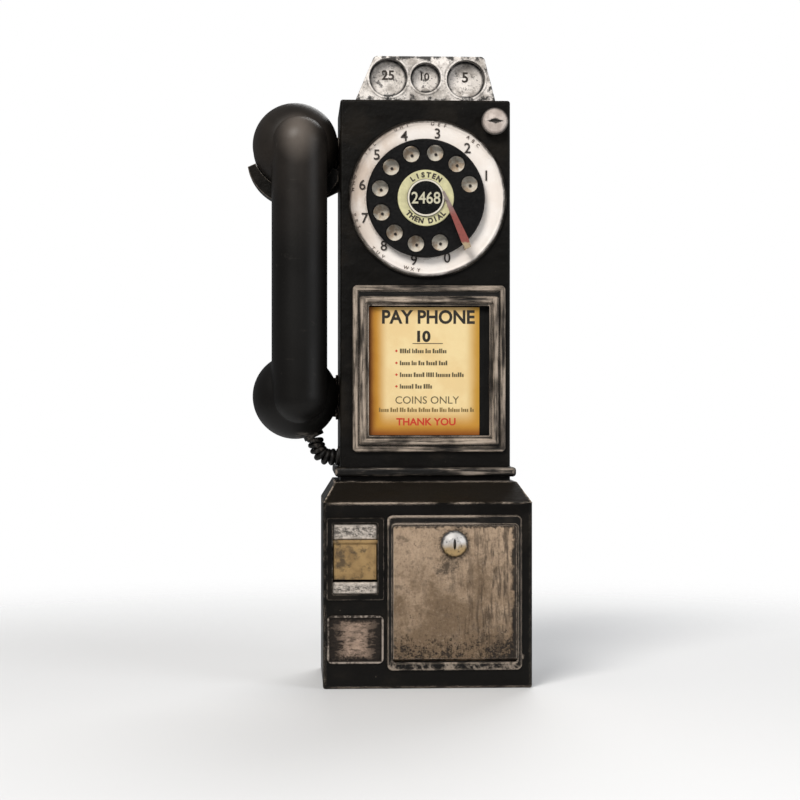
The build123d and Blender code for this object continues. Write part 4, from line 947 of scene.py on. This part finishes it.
def add_badge_print():
    """The number and pale rim of the centre badge, and the words round it."""
    low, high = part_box("card_badge")
    number = Print(low.y + BADGE_SINK)
    number.text("2468", 5.5 * MM, WHEEL.x, WHEEL.z, width=13.2 * MM, weight=0.012)
    number.make("badge_number", CREAM_INK, "dial")
    rim = Print(low.y)
    rim_r = (high.x - low.x) / 2 - BADGE_RIM_IN
    inner, outer = rim_r - BADGE_RIM_HALF, rim_r + BADGE_RIM_HALF
    step = 360.0 / BADGE_RIM_STEPS
    for i in range(BADGE_RIM_STEPS):
        start, end = step * i, step * (i + 1)
        corners = [around(inner, start), around(outer, start), around(outer, end), around(inner, end)]
        rim.shape(corners, [(0, 1, 2, 3)])
    rim.make("badge_rim", ink("ink_white", (0.72, 0.66, 0.55), fade=0.1), "dial")
    marks = Print(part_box("dial_card")[0].y)
    for words, middle, step in (("LISTEN", 90.0, -14.0), ("THEN DIAL", 270.0, 12.0)):
        for k, letter in enumerate(words):
            if letter == " ":
                continue
            angle = middle + (k - (len(words) - 1) / 2) * step
            x, z = around(RING_TEXT_R, angle)
            turn = math.radians(angle + (-90.0 if step < 0 else 90.0))
            marks.text(letter, 2.5 * MM, x, z, turn=turn, weight=0.055)
    marks.make("ring_marks", DARK_INK, "dial")


def add_coin_numbers():
    """The values on the floors of the coin wells."""
    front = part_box("coin_head")[0].y
    numbers = Print(front + WELL_DEPTH + WELL_RIM)
    for words, x, z, tall in (("25", -17.0, 281.8, 4.6), ("10", 0.3, 281.2, 3.7), ("5", 19.0, 281.0, 4.9)):
        numbers.text(words, tall * MM, x * MM, z * MM, weight=0.028)
    numbers.make("coin_numbers", DARK_INK, "housing")


# how far down the card each small row is, and how far across it ends, as shares of the card
CARD_ROWS = ((0.342, 0.69), (0.436, 0.70), (0.528, 0.845), (0.619, 0.555))
ROW_START = 0.275
BULLET_PLACE = 0.246
BULLET_REACH = 0.65 * MM


def add_card_print():
    """Generic words on the card, and small rows that say nothing."""
    low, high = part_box("instruction_card")
    width, height = high.x - low.x, high.z - low.z

    def at(u, v):
        return low.x + u * width, high.z - v * height

    rng = random.Random(7)
    dark = Print(low.y)
    dark.text("PAY PHONE", 6.5 * MM, *at(0.537, 0.076), width=43.0 * MM, weight=0.030)
    dark.text("10", 5.3 * MM, *at(0.495, 0.228), width=6.2 * MM, weight=0.045)
    dark.bar(*at(0.53, 0.284), 14.0 * MM, 0.32 * MM)
    dark.make("card_print_dark", HEADING_INK, "housing")
    brown = Print(low.y)
    brown.text("COINS ONLY", 3.4 * MM, *at(0.526, 0.726), width=29.5 * MM)
    for v, end in CARD_ROWS:
        x, z = at(ROW_START, v)
        brown.words_like(rng, x, z, (end - ROW_START) * width, 2.1 * MM)
    brown.make("card_print_brown", BROWN_INK, "housing")
    faint = Print(low.y)
    x, z = at(0.085, 0.802)
    faint.words_like(rng, x, z, 0.85 * width, 2.0 * MM)
    faint.make("card_print_faint", OCHRE_INK, "housing")
    red = Print(low.y)
    red.text("THANK YOU", 3.5 * MM, *at(0.514, 0.896), width=27.5 * MM, weight=0.03)
    for v, _ in CARD_ROWS:
        red.diamond(*at(BULLET_PLACE, v), BULLET_REACH)
    red.make("card_print_red", RED_INK, "housing")


add_dial_print()
add_badge_print()
add_coin_numbers()
add_card_print()

# ---- floor and light -------------------------------------------------------------------------------
FLOOR_FADE = (0.16, 0.55)
FLOOR_REACH = 3.0
LIGHT_AIM = Vector((0.0, 0.0, 0.15))


def add_floor():
    """A pale floor that fades into the white background."""
    corners = [(FLOOR_REACH * x, FLOOR_REACH * y, 0.0) for x, y in ((-1, -1), (1, -1), (1, 1), (-1, 1))]
    floor = mesh_object("floor", corners, [(0, 1, 2, 3)], smooth=False)
    s = Shade("pale_floor", 0.7).colour((0.86, 0.86, 0.86))
    far = s.distance(s.axis(0), s.axis(1))
    clear = s.add("ShaderNodeBsdfTransparent")
    fade = s.add("ShaderNodeMixShader")
    s.put(s.span(far, FLOOR_FADE[0], FLOOR_FADE[1]), fade.inputs[0])
    s.put(s.shader.outputs[0], fade.inputs[1])
    s.put(clear.outputs[0], fade.inputs[2])
    s.put(fade.outputs[0], s.tree.nodes["Material Output"].inputs["Surface"])
    floor.data.materials.append(s.material)


def add_light(name, place, size, power, tone=(1.0, 1.0, 1.0)):
    """A round soft light that shines at the phone's middle."""
    data = bpy.data.lights.new(name, "AREA")
    data.shape = "DISK"
    data.size = size
    data.energy = power
    data.color = tone
    lamp = bpy.data.objects.new(name, data)
    lamp.location = place
    lamp.rotation_euler = (LIGHT_AIM - Vector(place)).to_track_quat("-Z", "Y").to_euler()
    bpy.context.scene.collection.objects.link(lamp)


def add_world():
    """Soft grey light all round, with a plain white background behind."""
    world = bpy.data.worlds.new("studio")
    world.use_nodes = True
    tree = world.node_tree
    soft = tree.nodes["Background"]
    soft.inputs["Color"].default_value = (0.95, 0.97, 1.0, 1.0)
    soft.inputs["Strength"].default_value = 0.24
    white = tree.nodes.new("ShaderNodeBackground")
    white.inputs["Color"].default_value = (1.0, 1.0, 1.0, 1.0)
    white.inputs["Strength"].default_value = 1.0
    seen = tree.nodes.new("ShaderNodeLightPath")
    mix = tree.nodes.new("ShaderNodeMixShader")
    tree.links.new(seen.outputs["Is Camera Ray"], mix.inputs[0])
    tree.links.new(soft.outputs[0], mix.inputs[1])
    tree.links.new(white.outputs[0], mix.inputs[2])
    tree.links.new(mix.outputs[0], tree.nodes["World Output"].inputs["Surface"])
    bpy.context.scene.world = world


add_floor()
add_world()
add_light("key", (-0.55, -1.1, 1.15), 0.7, 20.0, (1.0, 0.975, 0.94))
add_light("fill", (1.1, -0.9, 0.5), 0.9, 6.0, (0.95, 0.97, 1.0))
add_light("back", (0.3, 1.2, 0.9), 0.9, 9.0)
bpy.context.scene.view_settings.view_transform = "Standard"
